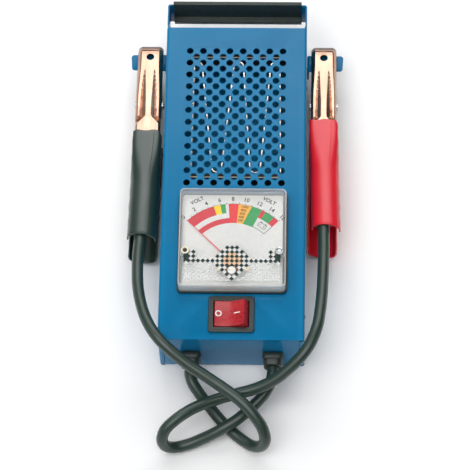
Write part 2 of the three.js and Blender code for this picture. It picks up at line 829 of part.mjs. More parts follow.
// One half of the clamp: a folded channel with cheeks that carry the pin.
function clampHalf(up, jawHalf, tangEnd) {
  const c = CLAMP;
  const web = webLine(tangEnd);
  const z = (h) => MID + up * h;
  const outline = [...web, ...edgeLine(tangEnd)].map(([y, h]) => [y, z(h)]);
  const below = web.map(([y, h]) => [y, z(h - c.sheet * 1.2)]);
  const room = [
    ...below.map(([y, h], i) => (i === 0 ? [c.tip - 1.2, h] : [y, h])),
    [tangEnd - 5, z(15.5)],
    [tangEnd - 5, z(-20)],
    [c.tip - 1.2, z(-20)],
  ];
  if (up < 0) {
    outline.reverse();
    room.reverse();
  }
  const plan = (jaw, tang) => [
    [-tang, tangEnd - 10],
    [tang, tangEnd - 10],
    [tang, 56],
    [jaw, 60],
    [jaw, c.tip + 5],
    [-jaw, c.tip + 5],
    [-jaw, 60],
    [-tang, 56],
  ];
  const whole = prismX(outline, -20, 20).intersect(prismZ(plan(jawHalf, c.tang), -20, 80));
  const inside = prismX(room, -20, 20).intersect(
    prismZ(plan(jawHalf - c.sheet, c.tang - c.sheet), -20, 80),
  );
  const pinHole = rod("x", [c.pivotY, MID], PIN.hole, -20, 20, 20);
  const tipHole = rod("z", [0, TIP_HOLE.y], TIP_HOLE.radius, z(up > 0 ? 4 : 12), z(up > 0 ? 12 : 4), 16);
  return whole.subtract(inside).subtract(pinHole).subtract(tipHole);
}

// An arched insulating sleeve, open at both ends, over the tang of one half. Lean is how far its
// lower end stands to the side.
function clampSleeve(up, from, to, lean) {
  const s = SLEEVE;
  const c = CLAMP;
  const length = from - to;
  const start = s.crown + ((s.crownY - from) * s.rise) / 100;
  const arch = (half, drop, crown) => [
    [-half, -s.height + drop],
    [half, -s.height + drop],
    [half, -6 + crown],
    [half * 0.8, -2.4 + crown],
    [half * 0.45, -0.5 + crown],
    [0, crown],
    [-half * 0.45, -0.5 + crown],
    [-half * 0.8, -2.4 + crown],
    [-half, -6 + crown],
  ];
  const tilt = (Math.atan2(s.rise, 100) * 180) / Math.PI;
  const outer = prismY(arch(s.half, 0, 0), -length, 0);
  const inner = prismY(arch(s.half - s.wall, s.wall, -s.wall), -length - 1, 1);
  const swing = (Math.atan2(lean, length) * 180) / Math.PI;
  const sleeve = outer
    .subtract(inner)
    .rotate([-tilt, 0, 0])
    .rotate([0, 0, swing])
    .translate([0, from, MID + start]);
  return up > 0 ? sleeve : sleeve.translate([0, 0, -MID]).mirror([0, 0, 1]).translate([0, 0, MID]);
}

function clampPin() {
  const centre = [CLAMP.pivotY, MID];
  const shaft = rod("x", centre, PIN.radius, -PIN.half, PIN.half, 20);
  const heads = [-1, 1].map((side) => {
    const ends = [side * (CLAMP.jaw + GAP), side * PIN.half].sort((a, b) => a - b);
    return rod("x", centre, PIN.head, ...ends, 20);
  });
  return joined([shaft, ...heads]);
}

// A torsion spring round the pin; one leg bears on each half.
function clampSpring() {
  const s = SPRING;
  const points = [];
  const perTurn = 9;
  const half = (s.turns * s.pitch) / 2;
  const leg = (up) => [up * -half, CLAMP.pivotY - 14, MID + up * 12.2];
  points.push(leg(1));
  points.push([-half, CLAMP.pivotY - 8, MID + 9.4]);
  const first = 110;
  const sweep = s.turns * 360 + 140;
  const steps = Math.round((perTurn * sweep) / 360);
  for (let i = 0; i <= steps; i++) {
    const angle = ((first - (sweep * i) / steps) * Math.PI) / 180;
    const x = -half + (2 * half * i) / steps;
    points.push([x, CLAMP.pivotY + s.radius * Math.cos(angle), MID + s.radius * Math.sin(angle)]);
  }
  points.push([half, CLAMP.pivotY - 8, MID - 9.4]);
  points.push(leg(-1));
  return tube(points, s.wire, 5, steps + 6);
}

function addClamp(name, side, rubber, from, front, rear) {
  const place = (piece) => piece.translate([side * CLAMP.x, 0, 0]);
  add(`${name}_front_jaw`, place(clampHalf(1, CLAMP.jaw, CLAMP.tangEnd)), FINISH.copper);
  add(`${name}_rear_jaw`, place(clampHalf(-1, CLAMP.inner, rear.to + REAR_TANG)), FINISH.copper);
  add(`${name}_front_sleeve`, place(clampSleeve(1, from, front.to, front.lean)), rubber);
  add(`${name}_rear_sleeve`, place(clampSleeve(-1, from, rear.to, rear.lean)), rubber);
  add(`${name}_pivot_pin`, place(clampPin()), FINISH.steel);
  add(`${name}_spring`, place(solid(clampSpring())), FINISH.steel);
}

// ---------------------------------------------------------------- the object
add("front_cover", frontCover(), FINISH.bluePaint);
add("rear_shell", rearShell(), FINISH.bluePaint);
add("handle_strap", handleStrap(), FINISH.bluePaint);
add("handle_grip", handleGrip(), FINISH.blackPlastic);

const SIDES = [
  ["left", -1],
  ["right", 1],
];
for (const [name, side] of SIDES) {
  const wall = HALF_WIDTH + GAP;
  for (const [kind, { y, z }] of [
    ["side", SIDE_SCREW],
    ["handle", HANDLE_SCREW],
  ]) {
    add(`${name}_${kind}_screw`, sideFastener(side, y, z, wall, SCREW), FINISH.blackSteel);
  }
  add(`${name}_clamp_tab`, clampTab(side), FINISH.bluePaint);
  const rivetWall = wall + TAB.thick + GAP;
  add(
    `${name}_tab_rivet`,
    sideFastener(side, TAB.rivetY, TAB.rivetZ, rivetWall, RIVET),
    FINISH.steel,
  );
  add(`${name}_cover_screw`, coverScrew(side), FINISH.steel);
  add(`${name}_meter_terminal`, terminalStud(side), FINISH.brass);
  add(`${name}_meter_nut`, terminalNut(side), FINISH.brass);
  add(`${name}_switch_terminal`, switchTerminal(side), FINISH.brass);
  add(`${name}_gland`, gland(side), FINISH.blackPlastic);
}

add("meter_housing", meterHousing(), FINISH.blackPlastic);
add("meter_cover", meterCover(), FINISH.clear);
add("dial_plate", dialPlate(), FINISH.white);
add("magnet_ring", magnetRing(), FINISH.steel);
add("iron_core", ironCore(), FINISH.steel);
add("core_bracket", coreBracket(), FINISH.brass);
add("bearing_bridge", bearingBridge(), FINISH.brass);
add("moving_coil", movingCoil(), FINISH.winding);
add("needle", needle(), FINISH.needleRed);
add("hairspring", solid(hairspring()), FINISH.brass);
add("zero_adjust_screw", zeroAdjuster(), FINISH.white);

add("switch_body", switchBody(), FINISH.blackPlastic);
add("rocker", rocker(), FINISH.redPlastic);
add("contact_lever", contactLever(), FINISH.brass);

add("resistor_ribbon", resistorRibbon(), FINISH.resistance);
add("upper_insulator_rail", insulatorRail(RAIL.upper), FINISH.ceramic);
add("lower_insulator_rail", insulatorRail(RAIL.lower), FINISH.ceramic);

add("black_lead", leadTube(BLACK_LEAD, 48), FINISH.blackRubber);
add("red_lead", leadTube(RED_LEAD, 54), FINISH.blackRubber);
add("black_lead_tail", leadTail(-1), FINISH.blackRubber);
add("red_lead_tail", leadTail(1), FINISH.blackRubber);
for (const [name, points] of Object.entries(WIRES)) {
  add(name, tube(points, WIRE_RADIUS, 6, 3 * points.length), FINISH.wire);
}

addClamp("black_clamp", -1, FINISH.blackRubber, 44.5, { to: -43.5, lean: -1.8 }, { to: -49, lean: -1.8 });
addClamp("red_clamp", 1, FINISH.redRubber, 54.5, { to: -34.5, lean: 2.2 }, { to: -43.5, lean: -0.4 });

export default group;
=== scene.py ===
"""Battery tester: camera, light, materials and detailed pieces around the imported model.

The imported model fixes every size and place. Shapes are put together in millimetres and turned into
metres when a piece is made. X runs across the case, +Y towards the handle, +Z out of the front.
"""

import math

import bmesh
import bpy
from mathutils import Matrix, Vector


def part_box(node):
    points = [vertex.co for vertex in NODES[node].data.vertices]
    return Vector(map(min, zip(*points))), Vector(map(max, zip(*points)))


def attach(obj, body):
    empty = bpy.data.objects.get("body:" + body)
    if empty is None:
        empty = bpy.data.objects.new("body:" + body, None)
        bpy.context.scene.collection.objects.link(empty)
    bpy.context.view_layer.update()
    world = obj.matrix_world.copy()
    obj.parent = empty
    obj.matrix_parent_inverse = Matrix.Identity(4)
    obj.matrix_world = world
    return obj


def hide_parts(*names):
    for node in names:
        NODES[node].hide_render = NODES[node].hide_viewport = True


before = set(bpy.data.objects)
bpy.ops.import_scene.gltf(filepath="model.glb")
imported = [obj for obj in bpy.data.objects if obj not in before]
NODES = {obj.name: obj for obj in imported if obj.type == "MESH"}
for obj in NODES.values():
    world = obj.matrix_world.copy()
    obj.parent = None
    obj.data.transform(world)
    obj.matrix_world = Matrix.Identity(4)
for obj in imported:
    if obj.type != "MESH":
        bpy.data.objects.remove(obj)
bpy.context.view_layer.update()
SCENE = bpy.context.scene
MM = 0.001


def size_of(node):
    """The X, Y and Z ranges of a CAD node, in millimetres."""
    low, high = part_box(node)
    return [(a / MM, b / MM) for a, b in zip(low, high)]


# ---------------------------------------------------------------- camera
CAMERA_PLACE = (0.0515, -0.8503, 1.8282)
CAMERA_RIGHT = (0.99965, 0.01796, -0.01996)
CAMERA_UP = (-0.00812, 0.91080, 0.41278)
CAMERA_LENS = 204.6


def make_camera():
    right = Vector(CAMERA_RIGHT).normalized()
    back = right.cross(Vector(CAMERA_UP)).normalized()
    up = back.cross(right)
    camera = bpy.data.objects.new("camera", bpy.data.cameras.new("camera"))
    camera.data.lens = CAMERA_LENS
    camera.data.sensor_width = 36
    turn = Matrix((right, up, back)).transposed().to_4x4()
    camera.matrix_world = Matrix.Translation(CAMERA_PLACE) @ turn
    SCENE.collection.objects.link(camera)
    SCENE.camera = camera


make_camera()

# ---------------------------------------------------------------- materials


class Finish:
    """A procedural material: mottled colour, uneven roughness and a fine bump, from object space noise."""

    def __init__(self, name, colour, roughness, metallic=0.0):
        self.material = bpy.data.materials.new(name)
        self.material.use_nodes = True
        self.tree = self.material.node_tree
        self.shader = self.tree.nodes["Principled BSDF"]
        self.place = self.tree.nodes.new("ShaderNodeTexCoord").outputs["Object"]
        self.colour = (*colour, 1)
        self.set("Base Color", self.colour)
        self.set("Roughness", roughness)
        self.set("Metallic", metallic)
        self.roughness = roughness
        self.bump = None

    def set(self, socket, value):
        self.shader.inputs[socket].default_value = value
        return self

    def node(self, kind, **values):
        node = self.tree.nodes.new(kind)
        for key, value in values.items():
            setattr(node, key, value)
        return node

    def link(self, start, end):
        self.tree.links.new(start, end)

    def noise(self, scale, detail=3.0, stretch=(1, 1, 1)):
        """Noise in metres: scale is the number of features per metre."""
        mapping = self.node("ShaderNodeMapping")
        mapping.inputs["Scale"].default_value = stretch
        self.link(self.place, mapping.inputs["Vector"])
        noise = self.node("ShaderNodeTexNoise")
        noise.inputs["Scale"].default_value = scale
        noise.inputs["Detail"].default_value = detail
        self.link(mapping.outputs["Vector"], noise.inputs["Vector"])
        return noise.outputs["Fac"]

    def ranged(self, value, low, high, start=0.3, end=0.7):
        node = self.node("ShaderNodeMapRange")
        for key, number in (("From Min", start), ("From Max", end), ("To Min", low), ("To Max", high)):
            node.inputs[key].default_value = number
        self.link(value, node.inputs["Value"])
        return node.outputs["Result"]

    def mixed(self, factor, first, second):
        """A mix of two colours; each is a colour or a socket."""
        mix = self.node("ShaderNodeMix", data_type="RGBA")
        self.link(factor, mix.inputs["Factor"])
        for key, value in (("A", first), ("B", second)):
            socket = [s for s in mix.inputs if s.name == key and s.type == "RGBA"][0]
            if isinstance(value, bpy.types.NodeSocket):
                self.link(value, socket)
            else:
                socket.default_value = value
        return [s for s in mix.outputs if s.type == "RGBA"][0]

    def mottle(self, amount, scale, stretch=(1, 1, 1), detail=3.0):
        dark = (*(c * (1 - amount) for c in self.colour[:3]), 1)
        light = (*(min(c * (1 + amount), 1) for c in self.colour[:3]), 1)
        factor = self.ranged(self.noise(scale, detail, stretch), 0, 1)
        self.top = self.mixed(factor, dark, light)
        self.link(self.top, self.shader.inputs["Base Color"])
        return self

    def uneven(self, amount, scale, stretch=(1, 1, 1)):
        value = self.noise(scale, 4.0, stretch)
        low = max(self.roughness - amount, 0.02)
        self.link(self.ranged(value, low, self.roughness + amount), self.shader.inputs["Roughness"])
        return self

    def relief(self, height, scale, strength=1.0, stretch=(1, 1, 1)):
        bump = self.node("ShaderNodeBump")
        bump.inputs["Strength"].default_value = strength
        bump.inputs["Distance"].default_value = height
        self.link(self.noise(scale, 2.0, stretch), bump.inputs["Height"])
        if self.bump:
            self.link(self.bump, bump.inputs["Normal"])
        self.bump = bump.outputs["Normal"]
        self.link(self.bump, self.shader.inputs["Normal"])
        return self

    def worn(self, colour, start=0.53, end=0.62):
        """A colour painted along the outer edges, lighter than the surface: a painted highlight on bends
        and rims.
        """
        edge = self.node("ShaderNodeNewGeometry").outputs["Pointiness"]
        self.top = self.mixed(self.ranged(edge, 0, 0.8, start, end), self.top, (*colour, 1))
        self.link(self.top, self.shader.inputs["Base Color"])
        return self


def painted_blue():
    f = Finish("stove_enamel_blue", (0.0005, 0.14, 0.3), 0.16).set("Specular IOR Level", 0.18)
    f.mottle(0.05, 25).uneven(0.04, 60).relief(0.00002, 900, 0.3)
    # lighter blue painted along the bends and rims: a painted highlight
    return f.worn((0.004, 0.19, 0.4)).material


def moulded_black(name, colour, roughness):
    f = Finish(name, colour, roughness)
    f.mottle(0.14, 220).uneven(0.07, 500).relief(0.00004, 2600, 0.5)
    return f.material


def vinyl(name, colour, roughness, shine=0.8):
    f = Finish(name, colour, roughness).set("Coat Weight", shine).set("Coat Roughness", 0.25)
    f.mottle(0.07, 45).uneven(0.06, 130, (1, 0.25, 1)).relief(0.00006, 420, 0.35, (1, 0.3, 1))
    f.relief(0.00002, 3200, 0.4)
    return f.material


def copper(name, colour, edge):
    f = Finish(name, colour, 0.24, 1.0)
    f.mottle(0.12, 55).uneven(0.08, 240, (1, 0.12, 1)).relief(0.00001, 2200, 0.5, (1, 0.06, 1))
    # lighter copper painted along the edges: a painted highlight
    return f.worn(edge).material


def metal(name, colour, roughness, scratch=0.00001):
    f = Finish(name, colour, roughness, 1.0)
    f.mottle(0.1, 180).uneven(0.09, 500).relief(scratch, 1500, 0.6, (1, 0.15, 1))
    return f.material


def printed(name, colour, roughness=0.45):
    f = Finish(name, colour, roughness)
    return f.mottle(0.04, 300).uneven(0.05, 900).relief(0.000008, 4000, 0.4).material


def clear(name, roughness, alpha=1.0, transmission=1.0):
    f = Finish(name, (0.97, 0.985, 0.98), roughness).set("IOR", 1.49).set("Alpha", alpha)
    f.set("Transmission Weight", transmission)
    return f.uneven(0.015, 700).relief(0.000004, 600, 0.3).material


def winding():
    """Enamelled wire in fine turns round the coil frame."""
    f = Finish("coil_winding", (0.48, 0.13, 0.035), 0.3, 0.7).mottle(0.2, 300)
    wave = f.node("ShaderNodeTexWave", bands_direction="Z")
    wave.inputs["Scale"].default_value = 1300
    f.link(f.place, wave.inputs["Vector"])
    bump = f.node("ShaderNodeBump")
    bump.inputs["Distance"].default_value = 0.0002
    f.link(wave.outputs["Fac"], bump.inputs["Height"])
    f.link(bump.outputs["Normal"], f.shader.inputs["Normal"])
    return f.material


BLUE = painted_blue()
BLACK_PLASTIC = moulded_black("black_plastic", (0.018, 0.027, 0.024), 0.42)
GRIP_PLASTIC = moulded_black("grip_plastic", (0.022, 0.034, 0.028), 0.5)
BLACK_VINYL = vinyl("black_vinyl", (0.015, 0.036, 0.028), 0.32, 0.6)
RED_VINYL = vinyl("red_vinyl", (0.68, 0.01, 0.025), 0.34, 0.45)
SHEATH = vinyl("lead_sheath", (0.018, 0.04, 0.03), 0.36, 0.2)
WIRE = vinyl("wire_insulation", (0.012, 0.05, 0.06), 0.45)
RED_PLASTIC = moulded_black("red_rocker", (0.42, 0.018, 0.026), 0.3)
WHITE_PLASTIC = moulded_black("white_plastic", (0.8, 0.8, 0.77), 0.4)
CREAM_PLASTIC = moulded_black("cream_plastic", (0.86, 0.8, 0.62), 0.4)
BOARD = moulded_black("insulating_board", (0.02, 0.016, 0.012), 0.6)
BOARD_EDGE = printed("insulating_board_edge", (0.85, 0.82, 0.74), 0.5)
# the last colour of each copper is the painted highlight along its edges
COPPER = copper("copper_plate", (0.52, 0.32, 0.235), (0.85, 0.62, 0.48))
# dark copper: painted shade on the jaws' bent-down tips
SHADED_COPPER = copper("copper_painted_shade", (0.09, 0.04, 0.03), (0.25, 0.12, 0.09))
STEEL = metal("zinc_steel", (0.6, 0.62, 0.62), 0.3)
DARK_STEEL = metal("magnet_steel", (0.1, 0.2, 0.2), 0.4)
BLACK_STEEL = moulded_black("blackened_steel", (0.012, 0.013, 0.014), 0.35)
BRASS = metal("turned_brass", (0.78, 0.53, 0.2), 0.28)
RIBBON = metal("resistance_alloy", (0.86, 0.85, 0.8), 0.32)
WINDING = winding()
WINDOW = clear("clear_window", 0.04, 0.02, 0.0)
RIM = clear("clear_rim", 0.08, 0.7, 0.55)
PRISM = clear("clear_prism", 0.12, 0.42, 0.0)
# the cover's diamonds: painted shade for dark inner reflections, painted glints, and amber painted
# reflections of the coil seen through the prisms
PRISM_SHADE = printed("prism_painted_shade", (0.03, 0.055, 0.055), 0.2)
PRISM_GLINT = printed("prism_painted_glint", (0.72, 0.72, 0.7), 0.2)
PRISM_COIL_REFLECTION = printed("prism_painted_coil_reflection", (0.78, 0.55, 0.36), 0.2)
DIAL_WHITE = printed("dial_white", (0.68, 0.68, 0.66))
INK_BLACK = printed("ink_black", (0.015, 0.015, 0.016))
INK_RED = printed("ink_red", (0.6, 0.012, 0.03))
INK_SCARLET = printed("ink_scarlet", (0.72, 0.015, 0.02))
INK_YELLOW = printed("ink_yellow", (0.95, 0.6, 0.0))
INK_ORANGE = printed("ink_orange", (0.88, 0.4, 0.03))
INK_GREEN = printed("ink_green", (0.012, 0.3, 0.075))
NEEDLE_RED = printed("needle_red", (0.75, 0.02, 0.03), 0.35)

# ---------------------------------------------------------------- shape helpers
ALONG_Z = Matrix.Identity(4)
ALONG_X = Matrix(((0, 0, 1, 0), (1, 0, 0, 0), (0, 1, 0, 0), (0, 0, 0, 1)))  # outline in Y and Z
ALONG_Y = Matrix(((1, 0, 0, 0), (0, 0, 1, 0), (0, 1, 0, 0), (0, 0, 0, 1)))  # outline in X and Z


def rectangle(x0, x1, y0, y1):
    return [(x0, y0), (x1, y0), (x1, y1), (x0, y1)]


def circle(x, y, radius, sides=24):
    turns = [2 * math.pi * i / sides for i in range(sides)]
    return [(x + radius * math.cos(a), y + radius * math.sin(a)) for a in turns]


def rounded(corners, radius, steps=5):
    """The outline with its corners turned into arcs. radius is one number, or one for each corner."""
    points = []
    radii = radius if hasattr(radius, "__len__") else [radius] * len(corners)
    for i, corner in enumerate(corners):
        here = Vector(corner)
        if radii[i] <= 0:
            points.append(here)
            continue
        before = (Vector(corners[i - 1]) - here).normalized()
        after = (Vector(corners[(i + 1) % len(corners)]) - here).normalized()
        half = before.angle(after) / 2
        centre = here + (before + after).normalized() * radii[i] / math.sin(half)
        start = here + before * radii[i] / math.tan(half) - centre
        end = here + after * radii[i] / math.tan(half) - centre
        sweep = start.angle(end)
        for step in range(steps + 1):
            t = step / steps
            share = (math.sin((1 - t) * sweep), math.sin(t * sweep))
            points.append(centre + (start * share[0] + end * share[1]) / math.sin(sweep))
    return [tuple(p) for p in points]


def strip(points, thickness):
    """The outline of a strip of even thickness along a line of points."""
    edges = ([], [])
    for i, here in enumerate(points):
        before, after = points[max(i - 1, 0)], points[min(i + 1, len(points) - 1)]
        ahead = (Vector(after) - Vector(before)).normalized()
        across = Vector((-ahead.y, ahead.x)) * thickness / 2
        edges[0].append(tuple(Vector(here) + across))
        edges[1].append(tuple(Vector(here) - across))
    return edges[0] + edges[1][::-1]


def bent(points, radii, steps=6):
    """An open line with its inner corners turned into arcs."""
    return rounded(points, [0, *radii, 0], steps)


def facing(centre, direction):
    """A place whose own Z axis points in the direction."""
    turn = Vector(direction).to_track_quat("Z", "Y").to_matrix().to_4x4()
    return Matrix.Translation(centre) @ turn


def mix(a, b, t):
    return a + (b - a) * t


def smooth(value, start, end):
    t = min(max((value - start) / (end - start), 0), 1)
    return t * t * (3 - 2 * t)


def along(line, at):
    """The height of a line of (place, height) points at a place; the places fall."""
    for (a, low), (b, high) in zip(line, line[1:]):
        if b <= at <= a:
            return mix(high, low, (at - b) / (a - b)) if a > b else high
    return line[0][1] if at > line[0][0] else line[-1][1]


class Shape:
    """A mesh being put together, in millimetres. paint is the number of the material of new faces."""

    def __init__(self):
        self.mesh = bmesh.new()
        self.paint = 0

    def faces(self, points, faces, place=ALONG_Z):
        made = [self.mesh.verts.new(place @ Vector(p)) for p in points]
        for corners in faces:
            face = self.mesh.faces.new([made[i] for i in corners])
            face.material_index = self.paint
        return self

    def mesh_from(self, mesh, place=ALONG_Z):
        points = [tuple(v.co) for v in mesh.vertices]
        return self.faces(points, [tuple(p.vertices) for p in mesh.polygons], place)

    def extrude(self, outline, low, high, bevel=0.15, holes=(), place=ALONG_Z, steps=2):
        """An outline with holes, made solid between two heights, its edges rounded by the bevel."""
        curve = bpy.data.curves.new("outline", "CURVE")
        curve.dimensions = "2D"
        curve.fill_mode = "BOTH"
        for ring in (outline, *holes):
            spline = curve.splines.new("POLY")
            spline.points.add(len(ring) - 1)
            for point, (x, y) in zip(spline.points, ring):
                point.co = (x, y, 0, 1)
            spline.use_cyclic_u = True
        curve.extrude = (high - low) / 2 - bevel
        curve.bevel_depth = bevel
        curve.offset = -bevel
        curve.bevel_resolution = steps
        filled = bpy.data.meshes.new_from_object(bpy.data.objects.new("outline", curve))
        return self.mesh_from(filled, place @ Matrix.Translation((0, 0, (low + high) / 2)))

    def rings(self, rings, start=True, end=True, round_about=True):
        """Rings of points joined one to the next, with a flat face over each end."""
        count = len(rings[0])
        points = [p for ring in rings for p in ring]
        faces = []
        for i in range(len(rings) - 1):
            for j in range(count if round_about else count - 1):
                k = (j + 1) % count
                faces.append((i * count + j, i * count + k, (i + 1) * count + k, (i + 1) * count + j))
        if start:
            faces.append(tuple(range(count))[::-1])
        if end:
            faces.append(tuple(range((len(rings) - 1) * count, len(rings) * count)))
        return self.faces(points, faces)

    def lathe(self, profile, place=ALONG_Z, sides=32):
        """A profile of (radius, height) points turned about the place's Z axis."""
        rings = []
        for radius, height in profile:
            ring = [(x, y, height) for x, y in circle(0, 0, max(radius, 1e-4), sides)]
            rings.append([place @ Vector(p) for p in ring])
        closed = profile[0] == profile[-1]
        return self.rings(rings, not closed, not closed)

    def tube(self, path, radius, sides=12):
        """A round bar along a path; radius is one number, or one for each point."""
        path = [Vector(p) for p in path]
        radii = radius if hasattr(radius, "__len__") else [radius] * len(path)
        normal = (path[1] - path[0]).orthogonal().normalized()
        rings = []
        for i, here in enumerate(path):
            ahead = path[min(i + 1, len(path) - 1)] - path[max(i - 1, 0)]
            ahead.normalize()
            normal = (normal - ahead * normal.dot(ahead)).normalized()
            other = ahead.cross(normal)
            turns = [2 * math.pi * k / sides for k in range(sides)]
            rings.append(
                [here + (normal * math.cos(a) + other * math.sin(a)) * radii[i] for a in turns]
            )
        return self.rings(rings)

    def text(self, words, height, place, thick=0.04):
        """Raised printing, centred on the place."""
        curve = bpy.data.curves.new("words", "FONT")
        curve.body = words
        curve.size = height / 0.7
        curve.align_x = "CENTER"
        curve.align_y = "CENTER"
        curve.extrude = thick / 2
        curve.offset = 0.016 * curve.size
        curve.resolution_u = 3
        return self.mesh_from(bpy.data.meshes.new_from_object(bpy.data.objects.new("words", curve)), place)

    def tidy(self):
        bmesh.ops.remove_doubles(self.mesh, verts=self.mesh.verts, dist=2e-4)
        loose = [f for f in self.mesh.faces if f.calc_area() < 1e-9]
        bmesh.ops.delete(self.mesh, geom=loose, context="FACES")
        bmesh.ops.recalc_face_normals(self.mesh, faces=self.mesh.faces)
        return self

    def as_mesh(self, name):
        mesh = bpy.data.meshes.new(name)
        self.mesh.to_mesh(mesh)
        return mesh

    def modified(self, kind, settings):
        """The same shape after a modifier of that kind."""
        worked = bpy.data.objects.new("shaping", self.as_mesh("shaping"))
        SCENE.collection.objects.link(worked)
        modifier = worked.modifiers.new(kind, kind)
        for key, value in settings.items():
            setattr(modifier, key, value)
        bpy.context.view_layer.update()
        made = bpy.data.meshes.new_from_object(
            worked.evaluated_get(bpy.context.evaluated_depsgraph_get())
        )
        bpy.data.objects.remove(worked)
        self.mesh.free()
        self.mesh = bmesh.new()
        self.mesh.from_mesh(made)
        return self

    def facing_out(self, up):
        """Turns the faces of an open sheet so that its crown faces away from the middle plane."""
        crown = max(self.mesh.faces, key=lambda f: f.calc_center_median().z * up)
        if crown.normal.z * up < 0:
            bmesh.ops.reverse_faces(self.mesh, faces=self.mesh.faces)
        return self

    def thickened(self, thickness):
        """An open sheet given a thickness, keeping the side that its faces point to."""
        return self.modified("SOLIDIFY", {"thickness": thickness, "offset": -1, "use_even_offset": True})

    def minus(self, cutter):
        """This shape with another one cut away."""
        self.tidy()
        cutter.tidy()
        tool = bpy.data.objects.new("cutter", cutter.as_mesh("cutter"))
        SCENE.collection.objects.link(tool)
        self.modified("BOOLEAN", {"operation": "DIFFERENCE", "solver": "EXACT", "object": tool})
        bpy.data.objects.remove(tool)
        return self


def add_piece(name, shape, materials, body="case", replaces=(), sharp=38):
    """Turns a shape into a piece that rides on a body and stands for CAD nodes."""
    shape.tidy()
    bmesh.ops.scale(shape.mesh, vec=(MM, MM, MM), verts=shape.mesh.verts)
    mesh = shape.as_mesh(name)
    shape.mesh.free()
    for material in materials if isinstance(materials, (list, tuple)) else [materials]:
        mesh.materials.append(material)
    mesh.shade_smooth()
    mesh.set_sharp_from_angle(angle=math.radians(sharp))
    piece = bpy.data.objects.new(name, mesh)
    SCENE.collection.objects.link(piece)
    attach(piece, body)
    if replaces:
        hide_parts(*replaces)
    return piece


SIDES = (("left", -1), ("right", 1))

# ---------------------------------------------------------------- free leads
BLACK_ROUTE = [
    (-30, -137.8, 21.5), (-29.9, -142.8, 21.5), (-28, -149.2, 20.5), (-23.8, -155.3, 17.5),
    (-18.4, -161.4, 13.4), (-12.6, -167.6, 9), (-6.2, -174.2, 5.6), (0.8, -180.8, 4.4),
    (8.3, -187.2, 4.6), (16, -192.6, 7), (22.4, -194.8, 13.2), (25.2, -193.4, 22),
    (23.6, -188.1, 29.9), (18.6, -181.5, 35.1), (12.3, -174.7, 38.2), (5, -168.3, 40),
    (-3.3, -162.5, 41.5), (-11.9, -157.1, 43.2), (-20.5, -152, 45.4), (-29.1, -147.1, 47.9),
    (-37.3, -141.6, 50.7), (-45.2, -135.5, 53.3), (-52.4, -128.3, 54.9), (-58.1, -119.9, 54.6),
    (-62.3, -110.7, 52.8), (-65.3, -101.1, 50.4), (-67.4, -91.3, 47.8), (-68.8, -81.4, 45.4),
    (-69.4, -71.2, 43.3), (-69.6, -60.9, 41.5), (-69.1, -50.6, 40.4), (-68.5, -40.2, 39.7),
    (-68, -28.4, 39.3),
]
RED_ROUTE = [
    (30, -137.8, 21.5), (29.9, -142.8, 21.5), (28.2, -149.8, 21.1), (24.4, -156.8, 19.8),
    (18.6, -163.4, 18.1), (11.5, -170, 16.5), (4.1, -176, 15.2), (-4.2, -180.9, 13.6),
    (-12.5, -184.8, 10.5), (-21.1, -187.8, 7), (-30, -190.8, 4.6), (-39.2, -193.4, 5),
    (-46.4, -194.6, 10.3), (-48.9, -192.8, 19.1), (-46.4, -188, 26.7), (-39.5, -182.1, 30.4),
    (-31.5, -176.1, 30.8), (-23.2, -170.9, 29.6), (-14.3, -166.8, 28.4), (-5, -163.2, 27.9),
    (4.9, -160.7, 28.8), (14.8, -158.7, 31), (24.2, -156.1, 34.3), (32.9, -152.5, 38.4),
    (40.7, -147.5, 42.8), (48.1, -141.6, 47), (54.6, -134.3, 50.3), (59.4, -125.1, 51.6),
    (62.5, -115, 51.1), (64, -104.5, 49.6), (65, -94.1, 47.8), (65.7, -83.6, 45.8),
    (66.1, -73, 43.9), (66.4, -62.3, 42.2), (66.6, -51.6, 40.9), (66.5, -40.9, 40.1),
    (66.4, -28.4, 39.6),
]
LEAD_RADIUS = 4.25
LEADS = {"black": (BLACK_ROUTE, 0.3129), "red": (RED_ROUTE, 0.3561)}


def smooth_route(points, steps=6):
    """A centripetal Catmull-Rom curve through the points."""
    points = [Vector(p) for p in points]
    points = [points[0] * 2 - points[1], *points, points[-1] * 2 - points[-2]]
    route = []
    for a, b, c, d in zip(points, points[1:], points[2:], points[3:]):
        t0, t1, t2 = ((q - p).length ** 0.5 for p, q in ((a, b), (b, c), (c, d)))
        start = ((b - a) / t0 - (c - a) / (t0 + t1) + (c - b) / t1) * t1
        end = ((c - b) / t1 - (d - b) / (t1 + t2) + (d - c) / t2) * t1
        for i in range(steps):
            t = i / steps
            square, cube = (c - b) * 3 - start * 2 - end, (b - c) * 2 + start + end
            route.append(b + start * t + square * t**2 + cube * t**3)
    return [*route, points[-2]]


def add_leads():
    for name, (route, length) in LEADS.items():
        curve = bpy.data.curves.new(f"{name}_lead_sheath", "CURVE")
        curve.dimensions = "3D"
        curve.bevel_depth = LEAD_RADIUS * MM
        curve.bevel_resolution = 7
        curve.use_fill_caps = True
        line = smooth_route(route)
        spline = curve.splines.new("POLY")
        spline.points.add(len(line) - 1)
        for point, place in zip(spline.points, line):
            point.co = (*(place * MM), 1)
        spline.use_smooth = True
        curve.materials.append(SHEATH)
        lead = bpy.data.objects.new(f"{name}_lead_sheath", curve)
        SCENE.collection.objects.link(lead)
        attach(lead, "case")
        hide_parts(f"{name}_lead")


add_leads()

